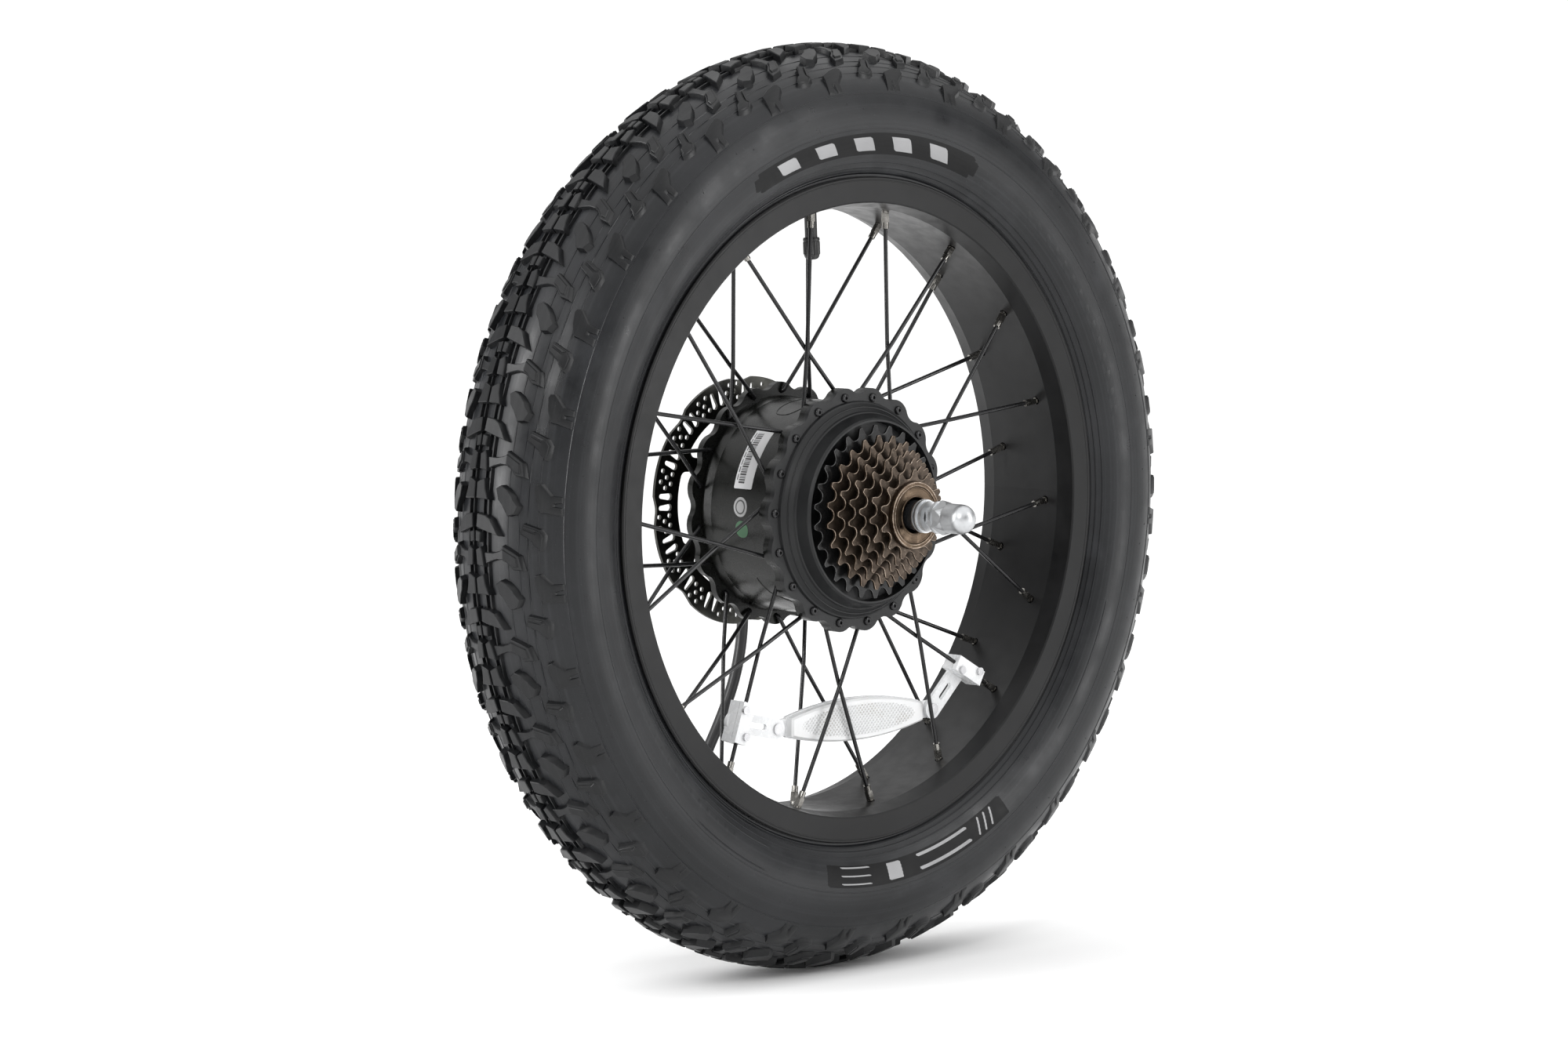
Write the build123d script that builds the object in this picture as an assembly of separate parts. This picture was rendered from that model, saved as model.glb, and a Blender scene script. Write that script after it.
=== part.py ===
from build123d import *
import math
import os

# Rear hub motor wheel, in millimetres.
# +X is forward, +Y is the brake side, +Z is up. The axle lies along Y.
# The origin is the wheel centre: the axle axis at the middle plane of the rim.

# ---- driving dimensions -------------------------------------------------------------

# tyre, tube and rim
TYRE_RADIUS = 292.5
TYRE_HALF_WIDTH = 50.0
TYRE_CROWN_CENTRE = TYRE_RADIUS - TYRE_HALF_WIDTH
TYRE_INNER_RADIUS = 283.5
TYRE_INNER_HALF_WIDTH = 46.8
BEAD_SEAT_RADIUS = 202.8
BEAD_CLEARANCE = 0.1
RIM_LIP_RADIUS = 209.0
RIM_HALF_WIDTH = 40.0
RIM_BARREL_RADIUS = 190.0
RIM_BARREL_HALF_WIDTH = 28.0
RIM_EDGE_RADIUS = 193.0
RIM_WALL = 2.0
RIM_LIP_THICKNESS = 2.8
RIM_BED_RADIUS = 201.0
TAPE_THICKNESS = 0.6
TAPE_HALF_WIDTH = 24.0
TUBE_SECTION_RADIUS = 39.0
TUBE_WALL = 1.5
TUBE_CENTRE_RADIUS = 243.0

# lacing
SPOKES_PER_SIDE = 18
SPOKE_PITCH = 360.0 / SPOKES_PER_SIDE
SPOKE_RADIUS = 1.3
SPOKE_HEAD_RADIUS = 2.1
SPOKE_HEAD_LENGTH = 1.6
DRIVE_HEAD_RISE = -0.25
BRAKE_HEAD_RISE = 1.7
SPOKE_HOLE_RADIUS = 1.5
SPOKE_CROSS_ANGLE = 20.0
SPOKE_ELBOW_RADIUS = 2.2
SPOKE_BOW = 1.45
SPOKE_BOW_RADIUS = 90.0
SPOKE_CIRCLE_RADIUS = 71.5
DRIVE_PHASE = -1.85
BRAKE_PHASE = 8.15
DRIVE_HOLE_SHIFT = 3.4
DRIVE_RIM_Y = -17.5
BRAKE_RIM_Y = 18.5
NIPPLE_RADIUS = 2.15
NIPPLE_FLANGE_RADIUS = 3.6
NIPPLE_LENGTH = 11.0
NIPPLE_ROUND_END = 4.0
NIPPLE_SQUARE = 3.4
NIPPLE_SQUARE_LENGTH = 6.0
NIPPLE_SEAT_DEPTH = 3.0
NIPPLE_CAP_HEIGHT = 2.0
NIPPLE_HOLE_RADIUS = 2.65
NIPPLE_ACCESS_RADIUS = 4.5

# valve
VALVE_ANGLE = 93.15
VALVE_STEM_RADIUS = 3.9
VALVE_HOLE_RADIUS = 4.25
VALVE_TIP_RADIUS = 160.0
VALVE_CAP_TIP_RADIUS = 156.5
VALVE_CAP_LENGTH = 14.0
VALVE_CAP_RADIUS = 6.3

# hub shell and drive-side cover
LOBE_RADIUS = 77.4
LOBE_VALLEY_RADIUS = 73.2
LOBE_HALF_ANGLE = 5.6
SHELL_RADIUS = 67.6
SHELL_BORE = 64.0
DRIVE_FLANGE_OUTER_Y = -27.0
DRIVE_FLANGE_INNER_Y = -22.5
BRAKE_FLANGE_INNER_Y = 38.5
BRAKE_FLANGE_OUTER_Y = 43.0
BRAKE_WALL_INNER_Y = 38.0
DISC_SEAT_Y = 69.5
DISC_BOSS_RADIUS = 27.0
DISC_SPIGOT_RADIUS = 17.4
COVER_FACE_Y = -30.3
COVER_RIM_Y = -46.8
COVER_FLOOR_Y = -38.0
COVER_WALL = 3.5
COVER_RIM_RADIUS = 58.6
COVER_RECESS_RADIUS = 56.0
THREAD_BOSS_RADIUS = 17.4
THREAD_BOSS_END_Y = -55.0
COVER_SCREW_CIRCLE = 71.5
COVER_SCREW_RADIUS = 1.45
COVER_SCREW_HEAD_RADIUS = 2.8
COVER_SCREW_HEAD_HEIGHT = 1.7
COVER_SCREW_DEPTH = 3.9

# brake disc: 160 mm, six bolts on a 44 mm circle
DISC_RADIUS = 80.0
DISC_VALLEY_RADIUS = 77.6
DISC_TRACK_RADIUS = 62.0
DISC_THICKNESS = 2.0
DISC_LOBES = 8
DISC_ARMS = 6
DISC_HOLE_RADIUS = 1.6
DISC_BOLT_CIRCLE = 22.0
DISC_BOLT_RADIUS = 2.5

# axle and what is stacked on it
AXLE_RADIUS = 7.5
AXLE_THREAD_RADIUS = 6.0
AXLE_FLAT_HALF = 5.0
DROPOUT_HALF_SPACING = 95.0
DROPOUT_GAP = 7.0
AXLE_DRIVE_END_Y = -121.0
AXLE_BRAKE_END_Y = 113.0
NUT_ACROSS_FLATS = 18.6
NUT_BORE = 6.03
DOME_RADIUS = 9.0
DOME_TIP_RADIUS = 1.2
DOME_BASE = 14.0
DOME_SHOULDER = 20.0
DOME_HEIGHT = 28.0
HEX_TO_CORNER = 1.0 / math.cos(math.radians(30))

# gears: sun 18, planets 36, ring 90 teeth
GEAR_MODULE = 1.25
SUN_TEETH = 18
PLANET_TEETH = 36
RING_TEETH = 90
PRESSURE_ANGLE = math.radians(20)
GEAR_BACKLASH = 0.16
GEAR_Y_LOW = -24.0
GEAR_Y_HIGH = -10.0
PLANET_ANGLES = (90.0, 210.0, 330.0)
PLANET_CIRCLE = GEAR_MODULE * (SUN_TEETH + PLANET_TEETH) / 2
PLANET_PIN_RADIUS = 4.0
PIN_CLEARANCE = 0.05

# motor
STATOR_SLOTS = 18
STATOR_BORE = 24.0
STATOR_YOKE_RADIUS = 33.0
STATOR_TOOTH_WIDTH = 6.0
STATOR_RADIUS = 47.0
STATOR_LOW_Y = 4.0
STATOR_HIGH_Y = 30.0
COIL_SLACK = 0.3
COIL_SHOE_GAP = 0.7
COIL_YOKE_GAP = 1.2
COIL_WALL = 2.2
SHOE_HEIGHT = 2.2
MAGNET_COUNT = 20
MAGNET_INNER = 47.8
MAGNET_OUTER = 50.6
MAGNET_SPAN = 16.0
BELL_RADIUS = 54.5
BELL_LOW_Y = -6.0
BELL_HIGH_Y = 32.0

# freewheel: seven sprockets for a 12.7 mm pitch chain
CHAIN_PITCH = 12.7
ROLLER_RADIUS = 3.97
SPROCKET_TEETH = (26, 23, 21, 19, 17, 15, 13)
SPROCKET_FIRST_Y = -46.1
SPROCKET_STEP = 5.3
SPROCKET_THICKNESS = 1.8
SPROCKET_TIP_RISE = 1.9
FREEWHEEL_LARGE_RADIUS = 26.0
FREEWHEEL_SMALL_RADIUS = 21.0
FREEWHEEL_STEP_Y = -64.0
FREEWHEEL_LOW_Y = -82.5
FREEWHEEL_HIGH_Y = -42.0
RATCHET_TEETH = 20
RATCHET_TIP = 20.7
RATCHET_ROOT = 22.4
PAWL_LOW_Y = -56.0
PAWL_HIGH_Y = -50.0
FREEWHEEL_BORE = 11.4

# reflector between the drive-side spokes
REFLECTOR_LEFT_X = -51.0
REFLECTOR_RIGHT_X = 90.0
REFLECTOR_Z = -135.5
REFLECTOR_BACK_Y = -7.0
REFLECTOR_FRONT_Y = -15.0
REFLECTOR_LENS_LEFT_X = -41.0
REFLECTOR_LENS_RIGHT_X = 79.0
REFLECTOR_HALF_HEIGHT = 13.8
TRAY_THICKNESS = 2.4
EAR_WIDTH = 11.0
RIVET_RADIUS = 2.1
RIVET_HEAD_RADIUS = 3.6
ARM_THICKNESS = 2.4
ARM_WIDTH = 13.0
CLAMP_LENGTH = 26.0
CLAMP_WIDTH = 10.0
CLAMP_DEPTH = 3.6
CLAMP_SCREW_RADIUS = 1.2
# (spoke number, share of the way from its crossing to the rim, pivot x)
REFLECTOR_CLAMPS = ((11, 0.58, REFLECTOR_LEFT_X), (15, 0.64, REFLECTOR_RIGHT_X))

# motor cable
CABLE_RADIUS = 3.75
CABLE_Y = 86.0
CABLE_ROUTE = [
    (7.5, 86.0, -27.0),
    (12.5, 86.0, -48.0),
    (15.5, 86.5, -72.0),
    (14.0, 87.0, -97.0),
    (7.5, 87.5, -121.0),
    (-4.0, 88.0, -144.0),
    (-17.5, 88.5, -166.0),
    (-28.0, 88.5, -189.0),
    (-32.5, 88.5, -213.0),
    (-33.0, 88.5, -232.0),
]
GROMMET_START = (3.33, 86.0, -9.5)
# where the line of the grommet meets the middle of the axle
OUTLET_START = (1.07, 86.0, 0.0)
CONNECTOR_LENGTH = 34.0


# ---- helpers --------------------------------------------------------------------------

def side_plane(y):
    """A plane across the axle at y, whose x is X and whose y is Z. It extrudes towards -Y."""
    return Plane(origin=(0, y, 0), x_dir=(1, 0, 0), z_dir=(0, -1, 0))


def plate(outline, y_low, y_high):
    """Extrude a flat outline, drawn in X and Z, from y_low to y_high."""
    return extrude(side_plane(y_high) * outline, amount=y_high - y_low)


def turned(*points):
    """A body turned about the axle from a closed outline of (radius, y) points."""
    return revolve(make_face(Polyline(*points, close=True)), axis=Axis.Y)


def ring(inner, outer, y_low, y_high):
    return turned((inner, y_low), (outer, y_low), (outer, y_high), (inner, y_high))


def disc(radius, y_low, y_high):
    return plate(Circle(radius), y_low, y_high)


def polar_point(radius, angle, y=None):
    x = radius * math.cos(math.radians(angle))
    z = radius * math.sin(math.radians(angle))
    return (x, z) if y is None else (x, y, z)


def around(shape, radius, angles):
    """Copies of a flat shape at a radius, each turned to face outward."""
    return Sketch() + [Rot(0, 0, a) * Pos(radius, 0) * shape for a in angles]


def rod(start, end, radius, end_radius=None):
    """A round bar, or a cone, between two points."""
    start = Vector(*start)
    end = Vector(*end)
    length = (end - start).length
    plane = Plane(origin=start, z_dir=end - start)
    if end_radius is None:
        return extrude(plane * Circle(radius), amount=length)
    return plane * Pos(0, 0, length / 2) * Cone(radius, end_radius, length)


def swept(route, radii, section_radius):
    path = FilletPolyline(*route, radius=radii)
    section = Plane(origin=path @ 0, z_dir=path % 0) * Circle(section_radius)
    return sweep(section, path=path), path


def steps(count, start=0.0):
    return [start + 360.0 * i / count for i in range(count)]


def hexagon(across_flats):
    return RegularPolygon(across_flats / 2 * HEX_TO_CORNER, 6)


def save(name, *solids):
    flat = []
    for item in solids:
        flat.extend(item if isinstance(item, (list, tuple)) else [item])
    pieces = [s for item in flat for s in item.solids()]
    shape = pieces[0] if len(pieces) == 1 else Compound(children=pieces)
    shape.label = name
    export_step(shape, f"parts/{name}.step")


# ---- tyre, tube and rim -----------------------------------------------------------------

def make_tyre():
    """The tyre out to the tips of its knobs, open towards the rim."""
    heel = (BEAD_SEAT_RADIUS + BEAD_CLEARANCE, RIM_HALF_WIDTH - RIM_LIP_THICKNESS - BEAD_CLEARANCE)
    lip_top = (RIM_LIP_RADIUS + 1.2, heel[1])
    toe = (heel[0], heel[1] - 5.5)
    bulge = (TYRE_CROWN_CENTRE, TYRE_HALF_WIDTH)
    low_side = (225.5, 47.0)
    inner_bulge = (240.0, TYRE_INNER_HALF_WIDTH)
    inner_low = (222.0, 42.6)
    inner_toe = (209.5, toe[1])

    def mirrored(point):
        return (point[0], -point[1])

    edges = Curve() + [
        Line(toe, heel),
        Line(heel, lip_top),
        ThreePointArc(lip_top, low_side, bulge),
        ThreePointArc(bulge, (TYRE_RADIUS, 0), mirrored(bulge)),
        ThreePointArc(mirrored(bulge), mirrored(low_side), mirrored(lip_top)),
        Line(mirrored(lip_top), mirrored(heel)),
        Line(mirrored(heel), mirrored(toe)),
        Line(mirrored(toe), mirrored(inner_toe)),
        ThreePointArc(mirrored(inner_toe), mirrored(inner_low), mirrored(inner_bulge)),
        ThreePointArc(mirrored(inner_bulge), (TYRE_INNER_RADIUS, 0), inner_bulge),
        ThreePointArc(inner_bulge, inner_low, inner_toe),
        Line(inner_toe, toe),
    ]
    save("tyre", revolve(make_face(edges), axis=Axis.Y))


def make_inner_tube():
    section = Circle(TUBE_SECTION_RADIUS) - Circle(TUBE_SECTION_RADIUS - TUBE_WALL)
    tube = revolve(Pos(TUBE_CENTRE_RADIUS, 0) * section, axis=Axis.Y)
    entry_start = polar_point(RIM_BARREL_RADIUS + 5, VALVE_ANGLE, 0)
    entry_end = polar_point(RIM_LIP_RADIUS + 3, VALVE_ANGLE, 0)
    entry = rod(entry_start, entry_end, VALVE_STEM_RADIUS + 0.1)
    save("inner_tube", tube - entry)


def rim_holes():
    """(angle, y) of every nipple hole, drive side first."""
    drive = [(a, DRIVE_RIM_Y) for a in steps(SPOKES_PER_SIDE, DRIVE_PHASE)]
    brake = [(a, BRAKE_RIM_Y) for a in steps(SPOKES_PER_SIDE, BRAKE_PHASE)]
    return drive + brake


def make_rim():
    """A hollow double-wall rim, open to the tyre, with its holes."""
    lip_inner_y = RIM_HALF_WIDTH - RIM_LIP_THICKNESS
    half = [
        (RIM_BARREL_RADIUS, 0),
        (RIM_BARREL_RADIUS, RIM_BARREL_HALF_WIDTH),
        (RIM_EDGE_RADIUS - 0.4, RIM_HALF_WIDTH - 0.8),
        (RIM_EDGE_RADIUS + 0.5, RIM_HALF_WIDTH),
        (RIM_LIP_RADIUS - 0.8, RIM_HALF_WIDTH),
        (RIM_LIP_RADIUS, RIM_HALF_WIDTH - 0.8),
        (RIM_LIP_RADIUS, lip_inner_y + 0.5),
        (RIM_LIP_RADIUS - 0.8, lip_inner_y),
        (BEAD_SEAT_RADIUS, lip_inner_y),
        (BEAD_SEAT_RADIUS, lip_inner_y - 8),
        (RIM_BED_RADIUS, lip_inner_y - 10),
        (RIM_BED_RADIUS, 0),
    ]
    outline = half + [(r, -y) for r, y in reversed(half) if y]
    cavity_inner = RIM_BARREL_RADIUS + RIM_WALL
    cavity_outer = RIM_BED_RADIUS - RIM_WALL
    cavity_half = lip_inner_y - 7
    cavity = [
        (cavity_inner, RIM_BARREL_HALF_WIDTH - 2),
        (cavity_inner + 1.5, cavity_half),
        (cavity_outer, cavity_half),
    ]
    body = turned(*outline) - turned(*(cavity + [(r, -y) for r, y in reversed(cavity)]))
    cutters = []
    for angle, y in rim_holes():
        foot = polar_point(RIM_BARREL_RADIUS - 3, angle, y)
        seat = polar_point(RIM_BARREL_RADIUS + 5, angle, y)
        bed = polar_point(RIM_BED_RADIUS + 2, angle, y)
        cutters.append(rod(foot, seat, NIPPLE_HOLE_RADIUS))
        cutters.append(rod(seat, bed, NIPPLE_ACCESS_RADIUS))
    foot = polar_point(RIM_BARREL_RADIUS - 3, VALVE_ANGLE, 0)
    bed = polar_point(RIM_BED_RADIUS + 2, VALVE_ANGLE, 0)
    cutters.append(rod(foot, bed, VALVE_HOLE_RADIUS))
    save("rim", body - cutters)


def make_rim_tape():
    tape = ring(RIM_BED_RADIUS + 0.05, RIM_BED_RADIUS + TAPE_THICKNESS, -TAPE_HALF_WIDTH, TAPE_HALF_WIDTH)
    start = polar_point(RIM_BED_RADIUS - 3, VALVE_ANGLE, 0)
    end = polar_point(RIM_BED_RADIUS + 3, VALVE_ANGLE, 0)
    save("rim_tape", tape - rod(start, end, VALVE_HOLE_RADIUS))


def make_valve():
    root = polar_point(TUBE_CENTRE_RADIUS - TUBE_SECTION_RADIUS + 2.5, VALVE_ANGLE, 0)
    tip = polar_point(VALVE_TIP_RADIUS, VALVE_ANGLE, 0)
    save("valve_stem", rod(root, tip, VALVE_STEM_RADIUS))
    mouth = polar_point(VALVE_CAP_TIP_RADIUS + VALVE_CAP_LENGTH, VALVE_ANGLE, 0)
    crown = polar_point(VALVE_CAP_TIP_RADIUS, VALVE_ANGLE, 0)
    cap = rod(mouth, crown, VALVE_CAP_RADIUS)
    cap = fillet(cap.edges().group_by(lambda e: Vector(*e.center()).length)[0], 2.2)
    bore_end = polar_point(VALVE_TIP_RADIUS - 0.2, VALVE_ANGLE, 0)
    save("valve_cap", cap - rod(mouth, bore_end, VALVE_STEM_RADIUS + 0.05))


# ---- spokes and nipples -------------------------------------------------------------------

def spoke_points(index, drive_side):
    """The hub hole, the elbow corner, the crossing and the rim end of one spoke."""
    turn = 1 if index % 2 else -1
    if drive_side:
        nominal = DRIVE_PHASE + SPOKE_PITCH * index
        hub_angle = nominal - DRIVE_HOLE_SHIFT * turn
        head_y = DRIVE_FLANGE_OUTER_Y
        elbow_y = DRIVE_FLANGE_INNER_Y + SPOKE_RADIUS + 0.5
        rim_y = DRIVE_RIM_Y
    else:
        nominal = BRAKE_PHASE + SPOKE_PITCH * index
        hub_angle = nominal
        head_y = BRAKE_FLANGE_OUTER_Y
        elbow_y = BRAKE_FLANGE_INNER_Y - SPOKE_RADIUS - 0.5
        rim_y = BRAKE_RIM_Y
    rim_angle = nominal + SPOKE_CROSS_ANGLE * turn
    head = Vector(*polar_point(SPOKE_CIRCLE_RADIUS, hub_angle, head_y))
    elbow = Vector(*polar_point(SPOKE_CIRCLE_RADIUS, hub_angle, elbow_y))
    rim = Vector(*polar_point(RIM_BARREL_RADIUS, rim_angle, rim_y))
    # the neighbour that turns the other way is crossed half a pitch round
    cross_angle = math.radians(nominal + SPOKE_PITCH / 2 * turn)
    across = Vector(-math.sin(cross_angle), 0, math.cos(cross_angle))
    share = -elbow.dot(across) / (rim - elbow).dot(across)
    cross = elbow + (rim - elbow) * share + Vector(0, SPOKE_BOW * turn, 0)
    return head, elbow, cross, rim


def make_spokes(drive_side):
    outward = -1 if drive_side else 1
    spokes = []
    for index in range(SPOKES_PER_SIDE):
        head, elbow, cross, rim = spoke_points(index, drive_side)
        rise = DRIVE_HEAD_RISE if drive_side else BRAKE_HEAD_RISE
        top = head + Vector(0, outward * rise, 0)
        end = rim + (rim - cross).normalized() * NIPPLE_SEAT_DEPTH
        radii = [SPOKE_ELBOW_RADIUS, SPOKE_BOW_RADIUS]
        wire, _ = swept([top, elbow, cross, end], radii, SPOKE_RADIUS)
        collar = rod(top, top - Vector(0, outward * SPOKE_HEAD_LENGTH, 0), SPOKE_HEAD_RADIUS)
        spokes.append(wire + collar)
    save("spokes_drive_side" if drive_side else "spokes_brake_side", spokes)


def make_nipples():
    nipples = []
    for drive_side in (True, False):
        for index in range(SPOKES_PER_SIDE):
            _, _, cross, rim = spoke_points(index, drive_side)
            along = (rim - cross).normalized()
            seat = rim + along * NIPPLE_SEAT_DEPTH
            body = rod(rim - along * NIPPLE_LENGTH, seat, NIPPLE_RADIUS)
            cap = rod(seat, seat + along * NIPPLE_CAP_HEIGHT, NIPPLE_FLANGE_RADIUS)
            flats_start = rim - along * (NIPPLE_LENGTH - NIPPLE_ROUND_END)
            wrench = Plane(origin=flats_start, z_dir=along)
            square = extrude(wrench * Rectangle(NIPPLE_SQUARE, NIPPLE_SQUARE), amount=NIPPLE_SQUARE_LENGTH)
            trim = rod(flats_start, flats_start + along * NIPPLE_SQUARE_LENGTH, NIPPLE_RADIUS + 1)
            body = (body - trim) + (square & trim)
            bore_start = rim - along * (NIPPLE_LENGTH + 1)
            bore = rod(bore_start, seat + along * (NIPPLE_CAP_HEIGHT / 2), SPOKE_RADIUS + 0.02)
            nipples.append(body + cap - bore)
    save("spoke_nipples", nipples)


# ---- hub shell, cover, screws -----------------------------------------------------------

def lobed_outline(phase):
    """The wavy flange outline, with a lobe at each spoke hole."""
    middle = (LOBE_RADIUS + LOBE_VALLEY_RADIUS) / 2 + 0.1
    edges = []
    for angle in steps(SPOKES_PER_SIDE, phase):
        start = polar_point(middle, angle - LOBE_HALF_ANGLE)
        crest = polar_point(LOBE_RADIUS, angle)
        end = polar_point(middle, angle + LOBE_HALF_ANGLE)
        valley = polar_point(LOBE_VALLEY_RADIUS, angle + SPOKE_PITCH / 2)
        after = polar_point(middle, angle + SPOKE_PITCH - LOBE_HALF_ANGLE)
        edges.append(ThreePointArc(start, crest, end))
        edges.append(ThreePointArc(end, valley, after))
    return make_face(Curve() + edges)


def drive_hole_angles():
    return [
        DRIVE_PHASE + SPOKE_PITCH * i - DRIVE_HOLE_SHIFT * (1 if i % 2 else -1)
        for i in range(SPOKES_PER_SIDE)
    ]


def make_hub_shell():
    """The motor barrel with its two lobed flanges, brake-side wall and disc seat."""
    wall_end = BRAKE_FLANGE_OUTER_Y
    body = turned(
        (SHELL_BORE, DRIVE_FLANGE_OUTER_Y),
        (SHELL_RADIUS, DRIVE_FLANGE_OUTER_Y),
        (SHELL_RADIUS + 1.2, DRIVE_FLANGE_INNER_Y),
        (SHELL_RADIUS, DRIVE_FLANGE_INNER_Y + 4),
        (SHELL_RADIUS, BRAKE_FLANGE_INNER_Y - 8),
        (SHELL_RADIUS + 1.0, BRAKE_FLANGE_INNER_Y - 2.5),
        (SHELL_RADIUS + 1.0, wall_end),
        (62.0, wall_end),
        (40.0, wall_end + 5),
        (DISC_BOSS_RADIUS, wall_end + 9),
        (DISC_BOSS_RADIUS, DISC_SEAT_Y),
        (DISC_SPIGOT_RADIUS, DISC_SEAT_Y),
        (DISC_SPIGOT_RADIUS, DISC_SEAT_Y + 3.5),
        (15.0, DISC_SEAT_Y + 3.5),
        (15.0, 64.0),
        (17.5, 64.0),
        (17.5, 52.0),
        (16.0, 52.0),
        (16.0, 46.0),
        (40.0, wall_end - 1),
        (60.0, BRAKE_WALL_INNER_Y),
        (SHELL_BORE, BRAKE_WALL_INNER_Y - 4),
    )
    rim_only = disc(SHELL_RADIUS - 1, DRIVE_FLANGE_OUTER_Y - 1, BRAKE_FLANGE_OUTER_Y + 1)
    drive_flange = plate(lobed_outline(DRIVE_PHASE), DRIVE_FLANGE_OUTER_Y, DRIVE_FLANGE_INNER_Y)
    brake_flange = plate(lobed_outline(BRAKE_PHASE), BRAKE_FLANGE_INNER_Y, BRAKE_FLANGE_OUTER_Y)
    body = body + (drive_flange - rim_only) + (brake_flange - rim_only)
    low, high = DRIVE_FLANGE_OUTER_Y - 1, DRIVE_FLANGE_INNER_Y + 1.2
    body -= plate(around(Circle(SPOKE_HOLE_RADIUS), SPOKE_CIRCLE_RADIUS, drive_hole_angles()), low, high)
    pockets = around(Circle(SPOKE_HEAD_RADIUS + 0.15), SPOKE_CIRCLE_RADIUS, drive_hole_angles())
    body -= plate(pockets, low, DRIVE_FLANGE_OUTER_Y + 2.2)
    low, high = BRAKE_FLANGE_INNER_Y - 2.2, BRAKE_FLANGE_OUTER_Y + 1
    brake_angles = steps(SPOKES_PER_SIDE, BRAKE_PHASE)
    body -= plate(around(Circle(SPOKE_HOLE_RADIUS), SPOKE_CIRCLE_RADIUS, brake_angles), low, high)
    screw_angles = steps(SPOKES_PER_SIDE, DRIVE_PHASE)
    screw_holes = around(Circle(COVER_SCREW_RADIUS + 0.05), COVER_SCREW_CIRCLE, screw_angles)
    body -= plate(screw_holes, DRIVE_FLANGE_OUTER_Y - 1, DRIVE_FLANGE_OUTER_Y + 4.2)
    bolt_holes = around(Circle(DISC_BOLT_RADIUS + 0.05), DISC_BOLT_CIRCLE, steps(DISC_ARMS))
    body -= plate(bolt_holes, DISC_SEAT_Y - 11, DISC_SEAT_Y + 1)
    save("hub_shell", body)


def make_drive_cover():
    """The dished cover: lobed screw flange, two sloped steps, recess and freewheel boss."""
    inner_floor = COVER_FLOOR_Y + COVER_WALL
    body = turned(
        (SHELL_BORE - 0.1, DRIVE_FLANGE_OUTER_Y + 3),
        (SHELL_BORE - 0.1, DRIVE_FLANGE_OUTER_Y),
        (70.0, DRIVE_FLANGE_OUTER_Y),
        (70.0, COVER_FACE_Y),
        (68.6, COVER_FACE_Y),
        (68.0, COVER_FACE_Y - 1.6),
        (67.0, COVER_FACE_Y - 2.2),
        (62.6, -37.3),
        (62.0, -38.4),
        (61.2, -38.9),
        (COVER_RIM_RADIUS, COVER_RIM_Y + 1.2),
        (COVER_RIM_RADIUS - 1.0, COVER_RIM_Y),
        (COVER_RECESS_RADIUS + 0.4, COVER_RIM_Y),
        (COVER_RECESS_RADIUS, COVER_FLOOR_Y),
        (THREAD_BOSS_RADIUS, COVER_FLOOR_Y),
        (THREAD_BOSS_RADIUS, THREAD_BOSS_END_Y),
        (10.5, THREAD_BOSS_END_Y),
        (10.5, -50.0),
        (14.0, -50.0),
        (14.0, inner_floor),
        (51.0, inner_floor),
        (57.5, -35.5),
        (60.0, DRIVE_FLANGE_OUTER_Y + 3),
    )
    flange = plate(lobed_outline(DRIVE_PHASE), COVER_FACE_Y, DRIVE_FLANGE_OUTER_Y)
    flange -= disc(69.0, COVER_FACE_Y - 1, DRIVE_FLANGE_OUTER_Y + 1)
    body = body + flange
    screw_angles = steps(SPOKES_PER_SIDE, DRIVE_PHASE)
    holes = around(Circle(COVER_SCREW_RADIUS + 0.2), COVER_SCREW_CIRCLE, screw_angles)
    body -= plate(holes, COVER_FACE_Y - 1, DRIVE_FLANGE_OUTER_Y + 1)
    save("drive_cover", body)


def make_cover_screws():
    """Button-head screws with a hexagon socket."""
    screws = []
    head_top = COVER_FACE_Y - COVER_SCREW_HEAD_HEIGHT
    shank_end = DRIVE_FLANGE_OUTER_Y + COVER_SCREW_DEPTH
    for angle in steps(SPOKES_PER_SIDE, DRIVE_PHASE):
        x, z = polar_point(COVER_SCREW_CIRCLE, angle)
        head = plate(Pos(x, z) * Circle(COVER_SCREW_HEAD_RADIUS), head_top, COVER_FACE_Y - 0.02)
        head = fillet(head.faces().sort_by(Axis.Y)[0].edges(), 1.1)
        shank = plate(Pos(x, z) * Circle(COVER_SCREW_RADIUS), COVER_FACE_Y - 0.1, shank_end)
        socket = plate(Pos(x, z) * Rot(0, 0, angle) * hexagon(2.0), head_top - 0.1, head_top + 1.0)
        screws.append(head + shank - socket)
    save("cover_screws", screws)


# ---- brake disc ----------------------------------------------------------------------------

def disc_outline():
    """Eight shallow lobes, each with a short sloped step at its end."""
    pitch = 360.0 / DISC_LOBES
    edges = []
    for start in steps(DISC_LOBES, 4.0):
        rise = polar_point(DISC_RADIUS - 0.7, start + 5)
        crest = polar_point(DISC_RADIUS, start + 20)
        fall = polar_point(DISC_RADIUS - 0.5, start + 36)
        low_start = polar_point(DISC_VALLEY_RADIUS, start)
        low_end = polar_point(DISC_VALLEY_RADIUS, start + 40)
        next_low = polar_point(DISC_VALLEY_RADIUS, start + pitch)
        dip = polar_point(DISC_VALLEY_RADIUS - 0.5, start + 42.5)
        edges.append(Line(low_start, rise))
        edges.append(ThreePointArc(rise, crest, fall))
        edges.append(Line(fall, low_end))
        edges.append(ThreePointArc(low_end, dip, next_low))
    return make_face(Curve() + edges)


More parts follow.
